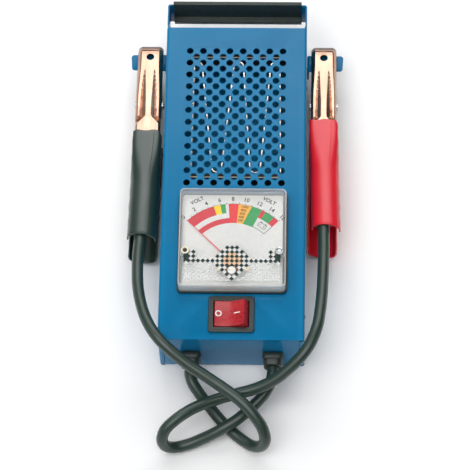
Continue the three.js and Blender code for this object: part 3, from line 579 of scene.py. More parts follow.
# ---------------------------------------------------------------- case
CASE_X, CASE_Y, CASE_Z = size_of("front_cover")
HALF_WIDTH, HALF_LENGTH, DEPTH = CASE_X[1], CASE_Y[1], CASE_Z[1]
SHEET = 1.0
BEND = 2.2
LAP = 3.5
GAP = 0.3
MID = DEPTH / 2
WALL_TOP = DEPTH - 3.4
VENT_PITCH, VENT_ROW, VENT_ROWS, VENT_TOP, VENT_RADIUS = 10, 5, 23, 107.5, 2.55
BARREL_CENTRE = (0, -68)
PIVOT = (0, -70)
SWITCH_Y = sum(size_of("switch_body")[1]) / 2
SWITCH_BODY_X, SWITCH_BODY_Y = 14.2, 11.5  # half sizes of the part behind the bezel
CUTOUT_ROOM = 0.15
GLAND_X, GLAND_Z = 30, 21.5
SIDE_FLANGES = ((-110, -88, 32), (-60, 70, 12))  # low and high Y, and height, of the rear shell's flanges


def vent_circles():
    circles = []
    for row in range(VENT_ROWS):
        count = 7 if row % 2 else 8
        for i in range(count):
            x = (i - (count - 1) / 2) * VENT_PITCH
            circles.append(circle(x, VENT_TOP - row * VENT_ROW, VENT_RADIUS, 20))
    return circles


def front_cover():
    shape = Shape()
    flat = HALF_WIDTH - BEND - 4
    barrel = circle(*BARREL_CENTRE, 22.4, 32)
    body_x, body_y = SWITCH_BODY_X + CUTOUT_ROOM, SWITCH_BODY_Y + CUTOUT_ROOM
    cutout = rectangle(-body_x, body_x, SWITCH_Y - body_y, SWITCH_Y + body_y)
    outline = rectangle(-flat, flat, -HALF_LENGTH, HALF_LENGTH)
    shape.extrude(outline, DEPTH - SHEET, DEPTH, 0, [*vent_circles(), barrel, cutout])
    middle = SHEET / 2
    for _, side in SIDES:
        wall = side * (HALF_WIDTH - middle)
        top = DEPTH - middle
        bend = bent([(side * flat, top), (wall, top), (wall, WALL_TOP)], [BEND - middle])
        shape.extrude(strip(bend, SHEET), -HALF_LENGTH, HALF_LENGTH, 0, place=ALONG_Y)
        end = HALF_LENGTH - middle
        lap = side * (HALF_WIDTH - LAP)
        corners = [(lap, -end), (wall, -end), (wall, end), (lap, end)]
        line = bent(corners, [1.2, 1.2])
        shape.extrude(strip(line, SHEET), 0, WALL_TOP, 0)
    add_piece("front_cover_sheet", shape, BLUE, replaces=["front_cover"])


def rear_shell():
    shape = Shape()
    middle = SHEET / 2
    end_half = HALF_WIDTH - LAP - GAP
    inner = HALF_WIDTH - SHEET - GAP
    end, top = HALF_LENGTH - middle, DEPTH - SHEET - GAP
    line = bent([(-end, top), (-end, middle), (end, middle), (end, top)], [1.6, 1.6])
    shape.extrude(strip(line, SHEET), -end_half, end_half, 0, place=ALONG_X)
    bore = Shape()
    for _, side in SIDES:
        bore.lathe([(6.6, -4), (6.6, 4)], facing((side * GLAND_X, -HALF_LENGTH, GLAND_Z), (0, 1, 0)))
    shape.minus(bore)
    for _, side in SIDES:
        margin = sorted((side * end_half, side * inner))
        shape.extrude(rectangle(*margin, -end + 2, end - 2), 0, SHEET, 0)
        wall = side * (inner - middle)
        for low, high, height in SIDE_FLANGES:
            outline = rounded(rectangle(low, high, middle, height), [0, 0, 3, 3])
            place = ALONG_X @ Matrix.Translation((0, 0, wall))
            shape.extrude(outline, -middle, middle, 0.1, place=place)
    add_piece("rear_shell_sheet", shape, BLUE, replaces=["rear_shell"])


# ---------------------------------------------------------------- handle
STRAP_X, STRAP_Y, STRAP_Z = size_of("handle_strap")
GRIP_X, GRIP_Y, GRIP_Z = size_of("handle_grip")
GRIP_RAIL_Z = (28.8, 30.4)
GRIP_LIP = 0.8
STRAP_THICK = 1.2


def handle_strap():
    middle = STRAP_THICK / 2
    outer = STRAP_X[1] - middle
    inner = HALF_WIDTH - SHEET - GAP - middle
    joggle = HALF_LENGTH + 3
    crown = STRAP_Y[1] - middle
    half = [(inner, STRAP_Y[0]), (inner, joggle - 2.5), (outer, joggle + 1), (outer, crown)]
    line = half + [(-x, y) for x, y in reversed(half)]
    shape = Shape()
    path = bent(line, [2, 2, 1.4, 1.4, 2, 2])
    shape.extrude(strip(path, STRAP_THICK), *STRAP_Z, 0.2)
    add_piece("handle_strap_sheet", shape, BLUE, replaces=["handle_strap"])


def handle_grip():
    """A moulding wrapped round the crown of the strap, with a rail along its inner face."""
    low, high = GRIP_Z
    rail, top = GRIP_Y
    under = STRAP_Y[1] - STRAP_THICK - 0.3
    rear, front = GRIP_RAIL_Z
    corners = [
        (under, high), (top, high), (top, low), (under - GRIP_LIP, low), (under - GRIP_LIP, rear),
        (rail, rear), (rail, front), (under, front),
    ]
    slot = rectangle(under + 0.1, STRAP_Y[1] + GAP, STRAP_Z[0] - GAP, STRAP_Z[1] + GAP)
    shape = Shape()
    outline = rounded(corners, [0.4, 1.3, 1.3, 0.4, 0.3, 0.5, 0.5, 0.3])
    shape.extrude(outline, *GRIP_X, 0.15, [slot], place=ALONG_X)
    add_piece("handle_grip_moulding", shape, GRIP_PLASTIC, replaces=["handle_grip"])


# ---------------------------------------------------------------- fasteners and tabs of the side walls
RIVET_DOME = 0.9
TAB_THICK = 1.5


def cross_recess(place, size, depth):
    cutter = Shape()
    for long, short in ((size, size * 0.22), (size * 0.22, size)):
        cutter.extrude(rectangle(-long, long, -short, short), -depth, 1, 0, place=place)
    return cutter


def pan_head(radius, height):
    return [
        (0, 0), (radius * 0.97, 0), (radius, 0.15), (radius * 0.98, height * 0.45),
        (radius * 0.85, height * 0.8), (radius * 0.5, height * 0.97), (0, height),
    ]


def radius_and_reach(node):
    """The radius of a fastener in a side wall and how far out it reaches."""
    x, y, _ = size_of(node)
    return (y[1] - y[0]) / 2, max(abs(x[0]), abs(x[1]))


def side_fasteners():
    for name, side in SIDES:
        for kind in ("side_screw", "handle_screw"):
            node = f"{name}_{kind}"
            _, y, z = size_of(node)
            radius, reach = radius_and_reach(node)
            centre = Vector((side * (HALF_WIDTH + GAP), sum(y) / 2, sum(z) / 2))
            height = reach - HALF_WIDTH - GAP
            place = facing(centre, (side, 0, 0))
            shape = Shape().lathe(pan_head(radius, height), place)
            shape.lathe([(0, -5.4), (1.2, -5.4), (1.5, -5), (1.5, 0.05), (0, 0.05)], place)
            recess = facing(centre + Vector((side * height, 0, 0)), (side, 0, 0))
            shape.minus(cross_recess(recess, radius * 0.5, height * 0.6))
            add_piece(f"{node}_head", shape, BLACK_STEEL, replaces=[node])
        node = f"{name}_tab_rivet"
        _, y, z = size_of(node)
        radius, reach = radius_and_reach(node)
        place = facing((side * (reach - RIVET_DOME), sum(y) / 2, sum(z) / 2), (side, 0, 0))
        turns = [math.pi * k / 12 for k in range(7)]
        dome = [(radius * math.cos(a), RIVET_DOME * math.sin(a)) for a in turns]
        shape = Shape().lathe([(0, 0), *dome], place)
        shape.lathe([(0, -4.4), (1.3, -4.4), (1.3, 0.1), (0, 0.1)], place)
        add_piece(f"{node}_head", shape, STEEL, replaces=[node])


def clamp_tabs():
    for name, side in SIDES:
        node = f"{name}_clamp_tab"
        x, y, z = size_of(node)
        wall, reach = HALF_WIDTH + GAP, max(abs(x[0]), abs(x[1]))
        seam = wall + 3
        corners = [(seam, y[0]), (reach - 0.8, y[0] + 0.6), (reach, y[1] - 0.2), (seam, y[1])]
        outline = [(side * a, b) for a, b in rounded(corners, [0, 2.2, 2.2, 0])]
        shape = Shape().extrude(outline, MID - TAB_THICK / 2, MID + TAB_THICK / 2, 0.12)
        foot = side * (wall + TAB_THICK / 2)
        line = bent([(side * seam, MID), (foot, MID), (foot, z[0])], [1.2])
        shape.extrude(strip(line, TAB_THICK), *y, 0.12, place=ALONG_Y)
        add_piece(f"{node}_plate", shape, BLUE, replaces=[node])


# ---------------------------------------------------------------- meter
COVER_X, COVER_Y, COVER_Z = size_of("meter_cover")
HOUSING_X, HOUSING_Y, HOUSING_Z = size_of("meter_housing")
HOUSING_FLANGE = 53.3
BARREL_INNER, BARREL_OUTER, BARREL_FLOOR = 20.5, 22, 1.5
DIAL_Y, DIAL_Z = size_of("dial_plate")[1:]
COVER_SCREW_X = sum(size_of("right_cover_screw")[0]) / 2
COVER_SCREW_Y = sum(size_of("right_cover_screw")[1]) / 2
ADJUSTER_Y = sum(size_of("zero_adjust_screw")[1]) / 2
PRISM_HALF = 1.75
PRISM_DEPTH = 0.8
FIELD_TOP = -68.5
MOVEMENT_Y = -71.6
PAINT_WINDOW, PAINT_RIM, PAINT_PRISM, PAINT_SHADE, PAINT_GLINT, PAINT_COIL_REFLECTION = range(6)
WALL = 2.0


def inset_rectangle(x, y, inset, radius, steps=5):
    return rounded(rectangle(x[0] + inset, x[1] - inset, y[0] + inset, y[1] - inset), radius, steps)


def to_screw(x, y):
    return math.hypot(abs(x) - COVER_SCREW_X, y - COVER_SCREW_Y)


def prism_kind(x, y, row):
    """The paint of a diamond of the face, or None where the face is smooth.

    Alternate diamonds are painted dark over the movement, round the screws and along the field's edge:
    painted shade for the prisms' dark inner reflections. Over the movement and round the screws the others
    carry painted glints, and near the middle amber painted reflections of the coil."""
    from_middle = abs(x) / 13.8 + abs(y - MOVEMENT_Y) / 12.6
    if to_screw(x, y) < 3.4 or math.hypot(x, y - ADJUSTER_Y) < 3.6:
        return None
    below_screw = math.hypot(abs(x) - COVER_SCREW_X, y - COVER_SCREW_Y + 4)
    if below_screw < 6.8 and y < COVER_SCREW_Y + 1.5:
        return PAINT_SHADE if row % 2 or below_screw < 3.6 else PAINT_GLINT
    if from_middle < 1.12:
        return PAINT_SHADE if row % 2 else (PAINT_COIL_REFLECTION if from_middle < 0.6 else PAINT_GLINT)
    if y > FIELD_TOP:
        return None
    return PAINT_SHADE if y > FIELD_TOP - 2 * PRISM_HALF and row % 2 else PAINT_PRISM


def prism_field(shape, x, y, height):
    """The face of the cover: a tiling of small diamonds, sunk to pyramids inside the field."""
    margin = 2.6
    columns = int((x[1] - x[0] - 2 * margin) / (2 * PRISM_HALF))
    rows = int((y[1] - y[0] - 2 * margin) / (2 * PRISM_HALF))
    left = (x[0] + x[1]) / 2 - columns * PRISM_HALF
    low = (y[0] + y[1]) / 2 - rows * PRISM_HALF
    for row in range(2 * rows + 1):
        for column in range(2 * columns + 1):
            if (row + column) % 2 == 0:
                continue
            cx, cy = left + column * PRISM_HALF, low + row * PRISM_HALF
            kind = prism_kind(cx, cy, row)
            shape.paint = PAINT_WINDOW if kind is None else kind
            ring = []
            for dx, dy in ((1, 0), (0, 1), (-1, 0), (0, -1)):
                px = min(max(cx + dx * PRISM_HALF, left), left + 2 * columns * PRISM_HALF)
                py = min(max(cy + dy * PRISM_HALF, low), low + 2 * rows * PRISM_HALF)
                ring.append((px, py, height))
            middle = sum((Vector(p) for p in ring), Vector()) / 4
            middle.z = height - (0 if kind is None else PRISM_DEPTH)
            faces = [(i, (i + 1) % 4, 4) for i in range(4)]
            shape.faces([*ring, middle], faces)
    right, high = left + 2 * columns * PRISM_HALF, low + 2 * rows * PRISM_HALF
    return (left, right), (low, high)


def frame_fill(shape, outer, inner, height):
    """A flat face at one height between an outer and an inner outline."""
    flat = bmesh.new()
    for ring in (outer, inner):
        made = [flat.verts.new((px, py, height)) for px, py in ring]
        for i, vertex in enumerate(made):
            flat.edges.new((vertex, made[(i + 1) % len(made)]))
    bmesh.ops.triangle_fill(flat, use_beauty=True, edges=flat.edges)
    mesh = bpy.data.meshes.new("fill")
    flat.to_mesh(mesh)
    flat.free()
    shape.mesh_from(mesh)


def field_border(x, y):
    """The border of the tiling, with a point at every half diamond."""
    across = round((x[1] - x[0]) / PRISM_HALF)
    upward = round((y[1] - y[0]) / PRISM_HALF)
    points = [(x[0] + i * PRISM_HALF, y[0]) for i in range(across)]
    points += [(x[1], y[0] + i * PRISM_HALF) for i in range(upward)]
    points += [(x[1] - i * PRISM_HALF, y[1]) for i in range(across)]
    points += [(x[0], y[1] - i * PRISM_HALF) for i in range(upward)]
    return points


def stepped_bore(radius, wide, start, step, end):
    """The profile of a hole that widens at its outer end."""
    return [(0, start), (radius, start), (radius, step), (wide, step), (wide, end), (0, end)]


def meter_cover():
    """The clear moulding: walls, a rounded rim, the face with its field of diamonds and two screw posts."""
    shape = Shape()
    low, top = COVER_Z
    shape.paint = PAINT_RIM
    edge = 0.9
    outside = [(0, low), (0, top - edge)]
    outside += [(edge * (1 - math.cos(a)), top - edge * (1 - math.sin(a))) for a in (0.4, 0.8, 1.2)]
    outside.append((edge, top))
    inside = [(WALL, low), (WALL, top - WALL - 0.6), (WALL + 0.6, top - WALL)]
    rings = []
    for inset, height in outside:
        rings.append([(px, py, height) for px, py in inset_rectangle(COVER_X, COVER_Y, inset, 3.2)])
    shape.rings(rings, False, False)
    rings = []
    for inset, height in inside:
        rings.append([(px, py, height) for px, py in inset_rectangle(COVER_X, COVER_Y, inset, 1.6)])
    shape.rings(rings, False, False)
    foot = [inset_rectangle(COVER_X, COVER_Y, inset, radius) for inset, radius in ((0, 3.2), (WALL, 1.6))]
    frame_fill(shape, *foot, low)
    field_x, field_y = prism_field(shape, COVER_X, COVER_Y, top)
    shape.paint = PAINT_WINDOW
    frame_fill(shape, inset_rectangle(COVER_X, COVER_Y, edge, 3.2), field_border(field_x, field_y), top)
    ceiling = inset_rectangle(COVER_X, COVER_Y, WALL + 0.6, 1.6)
    shape.faces([(px, py, top - WALL) for px, py in ceiling], [tuple(range(len(ceiling)))])
    shape.tidy()
    cutter = Shape()
    for _, side in SIDES:
        centre = (side * COVER_SCREW_X, COVER_SCREW_Y, 0)
        cutter.lathe(stepped_bore(1.8, 3.1, low - 1, top - 1.2, top + 1), Matrix.Translation(centre), 28)
    bore = stepped_bore(2.3, 3.3, low - 1, top - 1, top + 1)
    cutter.lathe(bore, Matrix.Translation((0, ADJUSTER_Y, 0)), 28)
    shape.minus(cutter)
    shape.paint = PAINT_RIM
    for _, side in SIDES:
        post = [(1.8, low), (3.4, low), (3.4, top - WALL - 0.1), (1.8, top - WALL - 0.1), (1.8, low)]
        shape.lathe(post, Matrix.Translation((side * COVER_SCREW_X, COVER_SCREW_Y, 0)), 28)
    paints = [WINDOW, RIM, PRISM, PRISM_SHADE, PRISM_GLINT, PRISM_COIL_REFLECTION]
    add_piece("meter_cover_moulding", shape, paints, replaces=["meter_cover"], sharp=12)


def meter_housing():
    shape = Shape()
    base, flange = DEPTH + GAP, HOUSING_FLANGE
    outline = inset_rectangle(HOUSING_X, HOUSING_Y, 0, 3.6)
    bore = circle(*BARREL_CENTRE, BARREL_INNER, 40)
    holes = [circle(s * COVER_SCREW_X, COVER_SCREW_Y, 1.8, 16) for _, s in SIDES]
    shape.extrude(outline, base, flange, 0.35, [bore, *holes])
    back = HOUSING_Z[0]
    place = Matrix.Translation((*BARREL_CENTRE, 0))
    front, floor = base + 0.1, back + BARREL_FLOOR
    wall = [(BARREL_INNER, front), (BARREL_INNER, floor), (BARREL_OUTER, floor), (BARREL_OUTER, front)]
    shape.lathe([*wall, wall[0]], place, 48)
    studs = [circle(s * 10, BARREL_CENTRE[1], 2.8, 16) for _, s in SIDES]
    shape.extrude(circle(*BARREL_CENTRE, BARREL_OUTER, 48), back, floor, 0.3, studs)
    for _, side in SIDES:
        post = [(0, flange - 0.3), (2.5, flange - 0.3), (2.5, HOUSING_Z[1]), (0, HOUSING_Z[1])]
        shape.lathe(post, Matrix.Translation((side * 29, -24, 0)))
    add_piece("meter_housing_moulding", shape, BLACK_PLASTIC, replaces=["meter_housing"])


# ---------------------------------------------------------------- dial
VOLT_STEP = 5.6
ZERO_ANGLE = -45


def on_dial(radius, angle, height=0.0):
    """A point of the dial, from its distance to the pivot and its angle from straight up."""
    a = math.radians(angle)
    return (PIVOT[0] + radius * math.sin(a), PIVOT[1] + radius * math.cos(a), height)


def sector(outer, inner, start, end, inner_start=None, inner_end=None, steps=14):
    """The outline of a band between two radii; its ends can slant."""
    inner_start = start if inner_start is None else inner_start
    inner_end = end if inner_end is None else inner_end
    points = [on_dial(outer, mix(start, end, i / steps))[:2] for i in range(steps + 1)]
    points += [on_dial(inner, mix(inner_end, inner_start, i / steps))[:2] for i in range(steps + 1)]
    return points


BANDS = [
    (INK_RED, (47.3, 40, -45, -17.5)),
    (INK_YELLOW, (47.3, 40, -17.5, -11.5)),
    (INK_GREEN, (47.3, 40, -11.5, -7)),
    (INK_RED, (36, 32, -45, -4.1)),
    (INK_SCARLET, (47.3, 32, -4.1, 4.9)),
    (INK_ORANGE, (47.3, 32, 4.9, 16.9, 4.9, 12.8)),
    (INK_GREEN, (47.3, 32, 16.9, 26.4, 12.8, 26.4)),
    (INK_RED, (47.3, 40.7, 26.4, 30)),
    (INK_GREEN, (47.3, 40.7, 30, 39)),
    (INK_RED, (47.3, 40.7, 39, 44.6)),
]


def outline_box(shape, outer, inner, start, end, z, width=0.35):
    """The edge lines of a white box on the dial."""
    degrees = math.degrees(width / inner)
    shape.extrude(sector(inner + width, inner, start, end), z, z + 0.04, 0)
    shape.extrude(sector(outer, inner, end - degrees, end, steps=2), z, z + 0.04, 0)


def dial_plate():
    low, high = DIAL_Z
    x = (COVER_X[0] + 2.4, COVER_X[1] - 2.4)
    outline = inset_rectangle(x, (DIAL_Y[0] - 0.5, DIAL_Y[1] + 0.8), 0, 2)
    holes = [circle(*PIVOT, 12.8, 40)]
    holes += [circle(s * COVER_SCREW_X, COVER_SCREW_Y, 3.8, 20) for _, s in SIDES]
    plate = Shape().extrude(outline, low, high, 0.08, holes)
    add_piece("dial_plate_printed", plate, DIAL_WHITE, replaces=["dial_plate"])

    inks = []
    print_shape = Shape()
    top = high + 0.01
    for ink, band in BANDS:
        if ink not in inks:
            inks.append(ink)
        print_shape.paint = inks.index(ink)
        print_shape.extrude(sector(*band), top, top + 0.04, 0)
    inks.append(INK_BLACK)
    print_shape.paint = len(inks) - 1
    for volt in range(17):
        angle = ZERO_ANGLE + volt * VOLT_STEP
        half = math.degrees(0.17 / 48)
        print_shape.extrude(sector(48.5, 47.3, angle - half, angle + half, steps=1), top, top + 0.04, 0)
        if volt % 2 == 0:
            place = Matrix.Translation(on_dial(51.2, angle, top + 0.02))
            place = place @ Matrix.Rotation(math.radians(-angle), 4, "Z")
            print_shape.text(str(volt), 3.1, place)
    for angle in (-28, 28):
        place = Matrix.Translation(on_dial(56.3, angle, top + 0.02))
        print_shape.text("VOLT", 2.9, place @ Matrix.Rotation(math.radians(-angle), 4, "Z"))
    print_shape.extrude(sector(47.45, 47.25, -45, 44.6, steps=60), top + 0.02, top + 0.06, 0)
    outline_box(print_shape, 40.7, 32.4, 26.4, 44.6, top)
    for row, figures in enumerate((1000, 800, 600, 400, 200)):
        angle = mix(10.7, 8.9, row / 4)
        place = Matrix.Translation(on_dial(45.6 - 2.8 * row, angle, top + 0.06))
        print_shape.text(str(figures), 1.9, place @ Matrix.Rotation(math.radians(-angle), 4, "Z"))
    battery_sign(print_shape, 36.6, 35.5, top + 0.02)
    add_piece("dial_print", print_shape, inks)


def battery_sign(shape, radius, angle, z):
    """A plain battery pictogram: a case outline, two posts, plus and minus."""
    place = Matrix.Translation(on_dial(radius, angle, z)) @ Matrix.Rotation(math.radians(-angle), 4, "Z")
    bars = [
        (-3.2, 3.2, 1.5, 1.8), (-3.2, 3.2, -1.9, -1.6), (-3.2, -2.9, -1.9, 1.8), (2.9, 3.2, -1.9, 1.8),
        (-2.4, -1.3, 1.8, 2.5), (1.3, 2.4, 1.8, 2.5), (-2.4, -0.9, -0.2, 0.1), (0.9, 2.4, -0.2, 0.1),
        (1.5, 1.8, -0.8, 0.7),
    ]
    for bar in bars:
        shape.extrude(rectangle(*bar), 0, 0.04, 0, place=place)


# ---------------------------------------------------------------- movement
def needle():
    low, high = 57.2, 57.7
    turn = Matrix.Translation((*PIVOT, 0)) @ Matrix.Rotation(math.radians(-ZERO_ANGLE), 4, "Z")
    outline = [
        (-0.55, -8.5), (0.55, -8.5), (0.42, 0), (0.16, 45.6), (0, 46), (-0.16, 45.6), (-0.42, 0),
    ]
    shape = Shape().extrude(outline, low, high, 0.06, place=turn)
    for y in (-8, -5.5):
        counterweight = [(0, -0.5), (1, -0.5), (1.1, -0.3), (1.1, 0.7), (0.9, 0.9), (0, 0.9)]
        shape.lathe(counterweight, turn @ Matrix.Translation((0, y, low)), 20)
    hub = [(0, 46.3), (1.3, 46.3), (1.4, 46.6), (1.4, 57.4), (1.1, high), (0, high)]
    shape.lathe(hub, Matrix.Translation((*PIVOT, 0)), 24)
    add_piece("needle_pointer", shape, NEEDLE_RED, "movement_coil", ["needle"])


def hairspring():
    turns, steps = 2.25, 90
    path = []
    for i in range(steps + 1):
        angle = 2 * math.pi * turns * i / steps
        radius = 2.2 + 4.6 * i / steps
        path.append((PIVOT[0] + radius * math.cos(angle), PIVOT[1] + radius * math.sin(angle), 50.6))
    shape = Shape().tube(path, 0.22, 8)
    add_piece("hairspring_spiral", shape, BRASS, replaces=["hairspring"])


def zero_adjuster():
    low, face = size_of("zero_adjust_screw")[2]
    profile = [
        (0, low), (1.9, low), (2, low + 0.2), (2, face - 1.1), (2.9, face - 1.1), (3, face - 0.95),
        (3, face - 0.35), (2.8, face - 0.1), (2.3, face), (0, face),
    ]
    shape = Shape().lathe(profile, Matrix.Translation((0, ADJUSTER_Y, 0)), 36)
    slot = rectangle(-2.4, 2.4, ADJUSTER_Y - 0.35, ADJUSTER_Y + 0.35)
    shape.minus(Shape().extrude(slot, face - 0.6, face + 1, 0))
    add_piece(
        "zero_adjuster_head", shape, WHITE_PLASTIC, "zero_adjuster", ["zero_adjust_screw"]
    )


def cover_screws():
    for name, side in SIDES:
        node = f"{name}_cover_screw"
        low, top = size_of(node)[2]
        place = Matrix.Translation((side * COVER_SCREW_X, COVER_SCREW_Y, 0))
        shape = Shape()
        shape.paint = 1
        cup = [
            (1.7, top - 1), (2.9, top - 1), (2.9, top - 0.2), (2.6, top), (2.1, top - 0.05),
            (1.7, top - 0.4),
        ]
        shape.lathe([*cup, cup[0]], place, 36)
        shape.paint = 0
        head = [(0, top - 1), (1.6, top - 1), (1.6, top - 0.6), (1.2, top - 0.42), (0, top - 0.4)]
        screw = Shape().lathe(head, place, 30)
        recess = place @ Matrix.Translation((0, 0, top - 0.4))
        screw.minus(cross_recess(recess, 0.9, 0.4))
        shape.mesh_from(screw.as_mesh("head"))
        end = top - 0.95
        shape.lathe([(0, low), (1.1, low), (1.35, low + 0.5), (1.35, end), (0, end)], place, 20)
        ring = CREAM_PLASTIC if side < 0 else STEEL
        head = BLACK_STEEL if side < 0 else STEEL
        add_piece(f"{node}_head", shape, [head, ring], replaces=[node])


# ---------------------------------------------------------------- switch
SWITCH_X, SWITCH_RANGE_Y, SWITCH_Z = size_of("switch_body")
ROCKER_PIVOT = (0, SWITCH_Y, 49.1)
ROCKER_RADIUS, ROCKER_HALF, ROCKER_TILT, ROCKER_CORNER, ROCKER_DIP = 12.5, 9.8, 12, 30, 3.7
OFF_MARK, ON_MARK = -8.3, 5.2


def switch_body():
    shape = Shape()
    top = SWITCH_Z[1]
    room_x, room_y = ROCKER_RADIUS + GAP, ROCKER_HALF + GAP
    opening = rectangle(-room_x, room_x, SWITCH_Y - room_y, SWITCH_Y + room_y)
    bezel = rounded(rectangle(*SWITCH_X, *SWITCH_RANGE_Y), 2.2)
    shape.extrude(bezel, DEPTH + GAP, top, 0.55, [opening], steps=3)
    body_y = (SWITCH_Y - SWITCH_BODY_Y, SWITCH_Y + SWITCH_BODY_Y)
    body = rectangle(-SWITCH_BODY_X, SWITCH_BODY_X, *body_y)
    shape.extrude(body, SWITCH_Z[0] + 2, top - 0.6, 0, [opening])
    slots = [rectangle(s * 8 - 0.7, s * 8 + 0.7, SWITCH_Y - 3.5, SWITCH_Y + 3.5) for _, s in SIDES]
    shape.extrude(body, SWITCH_Z[0], SWITCH_Z[0] + 2, 0, slots)
    add_piece("switch_body_moulding", shape, BLACK_PLASTIC, replaces=["switch_body"])


def rocker_height(x):
    """The height of the rocker's hollow top above its pivot."""
    rim = ROCKER_RADIUS * math.sin(math.radians(ROCKER_CORNER))
    end = ROCKER_RADIUS * math.cos(math.radians(ROCKER_CORNER))
    return ROCKER_DIP + (rim - ROCKER_DIP) * (abs(x) / end) ** 1.6


def on_rocker(x):
    """A place on the rocker's top, level with the surface there."""
    slope = math.atan((rocker_height(x + 0.1) - rocker_height(x - 0.1)) / 0.2)
    return Matrix.Translation((x, 0, rocker_height(x))) @ Matrix.Rotation(-slope, 4, "Y")


def rocker():
    arcs = [math.radians(mix(-20, ROCKER_CORNER, i / 8)) for i in range(9)]
    right = [(ROCKER_RADIUS * math.cos(a), ROCKER_RADIUS * math.sin(a)) for a in arcs]
    end = right[-1][0]
    tops = [end * (1 - i / 10) for i in range(1, 20)]
    outline = right + [(x, rocker_height(x)) for x in tops] + [(-x, z) for x, z in reversed(right)]
    turn = Matrix.Translation(ROCKER_PIVOT) @ Matrix.Rotation(math.radians(-ROCKER_TILT), 4, "Y")
    shape = Shape().extrude(outline, -ROCKER_HALF, ROCKER_HALF, 0.45, place=turn @ ALONG_Y)
    for _, side in SIDES:
        axle = facing((0, side * (ROCKER_HALF - 0.1), 0), (0, side, 0))
        shape.lathe([(0, 0), (1.5, 0), (1.5, 0.8), (1.3, 1), (0, 1)], turn @ axle, 20)
    shape.paint = 1
    ring, hole = circle(0, 0, 2.4, 32), circle(0, 0, 1.5, 32)
    shape.extrude(ring, -0.3, 0.14, 0.03, [hole], turn @ on_rocker(OFF_MARK))
    bar = rounded(rectangle(-2.4, 2.4, -0.42, 0.42), 0.2)
    shape.extrude(bar, -0.3, 0.14, 0.03, place=turn @ on_rocker(ON_MARK))
    add_piece("rocker_button", shape, [RED_PLASTIC, WHITE_PLASTIC], "rocker", ["rocker"])


# ---------------------------------------------------------------- cable glands
def glands():
    """A squared flange and a narrower squared nose, with a round bore for the lead."""
    for name, side in SIDES:
        node = f"{name}_gland"
        nose = size_of(node)[1][0]
        cx, cz = side * GLAND_X, GLAND_Z
        wall = -HALF_LENGTH
        stations = [
            (wall - 0.3, 7.2, 3.2), (wall - 0.7, 7.5, 3.4), (wall - 4.6, 7.5, 3.4), (wall - 5.2, 7.2, 3.4),
            (wall - 5.4, 6.8, 4.2), (wall - 9.2, 6.5, 4.2), (wall - 9.8, 6.2, 4.2), (nose, 5.6, 4),
        ]
        rings = []
        for at, half, corner in stations:
            ring = rounded(rectangle(-half, half, -half, half), corner, 6)
            rings.append([(cx + a, at, cz + b) for a, b in ring])
        shape = Shape().rings(rings)
        bore = facing((cx, wall, cz), (0, -1, 0))
        shape.minus(Shape().lathe([(4.6, 0), (4.6, 11)], bore, 32))
        neck = [(4.6, -6), (6.3, -6), (6.3, 0.4), (4.6, 0.4), (4.6, -6)]
        shape.lathe(neck, bore, 32)
        nut = [(6.3, -6), (8.5, -6), (8.5, -1.3), (6.3, -1.3), (6.3, -6)]
        shape.lathe(nut, bore, 8)
        add_piece(f"{node}_moulding", shape, BLACK_PLASTIC, replaces=[node])


# ---------------------------------------------------------------- clamps
CLAMP_X = 66
CLAMP_TIP = size_of("black_clamp_front_jaw")[1][1]
CLAMP_PIVOT_Y = sum(size_of("black_clamp_pivot_pin")[1]) / 2
WEB_LINE = [
    (123, 1.15), (123, 2.2), (122.6, 3), (121.8, 4), (119.6, 6), (118, 7.3), (116.6, 8.1), (113, 9),
    (98, 11.2), (80, 13.6), (66, 14.6), (56, 14.6), (-28, 16.6),
]
EDGE_LINE = [
    (123, 1.15), (113.5, 1.15), (111, 4), (92, 4.6), (82, -5), (73.5, -6.6), (65, -5), (58, 8.5),
    (54.5, 10.2), (-28, 12.4),
]
TIP_HOLE_Y, TIP_HOLE = 110.5, 3.0
TIP_ROUND = 2.8
# the fold past which the jaw's tip carries painted shade
TIP_FOLD_Y = 119.4
JAW_SHEET = 1.0
TANG_END, TANG_HALF = -28, 6
RIB_LINE = [(102, 3.3), (85, 2.5), (71, 1.9), (58, 1.9), (49.5, 9.5)]
GROOVE_LINE = [(102, 3.3), (85, 4.9), (71, 5.6), (57.5, 5.9), (54, 9.5)]
GROOVE_START, GROOVE_END = 102, 48
GROOVE_SLOPE, GROOVE_REACH, GROOVE_WALL = 0.48, 4.2, 0.35
TOOTH_START, TOOTH_END, TOOTH_PITCH, TOOTH_DEPTH = 94, 111, 3.4, 1.3
FRONT_JAW_HALF, REAR_JAW_HALF = 9.5, 8.1
PIN_HOLE = 2.3


def groove(x, y):
    """The depth of the pressed grooves beside a jaw's middle rib; they run out to the sides at its root."""
    inner, outer = along(RIB_LINE, y), along(GROOVE_LINE, y)
    if not GROOVE_END <= y <= GROOVE_START or abs(x) <= inner:
        return 0.0
    depth = GROOVE_SLOPE * min(abs(x) - inner, GROOVE_REACH)
    wall = (outer + GROOVE_WALL - abs(x)) / GROOVE_WALL
    return depth * min(max(wall, 0), 1)


def web_drop(x, y, half):
    """How far the surface of a jaw lies below its centre line."""
    width = mix(1.7, 3.0, smooth(y, 72, 108))
    over = max((abs(x) - half + width) / width, 0)
    return (width + 0.3) * over**1.5 + groove(x, y)


def jaw_half(y, half, root):
    """The half width of a jaw: rounded corners at the tip, a narrow tang from the sleeve's edge on."""
    start = CLAMP_TIP - TIP_ROUND
    if y <= start:
        return mix(TANG_HALF, half, smooth(y, root - 8, root - 2))
    across = max(TIP_ROUND**2 - (y - start) ** 2, 0)
    return half - TIP_ROUND + math.sqrt(across)


def jaw_teeth(y):
    """A row of teeth along the cheeks' edges at the mouth."""
    if not TOOTH_START < y < TOOTH_END:
        return 0.0
    phase = (y - TOOTH_START) / TOOTH_PITCH
    return -TOOTH_DEPTH * (1 - abs(2 * (phase - math.floor(phase)) - 1))


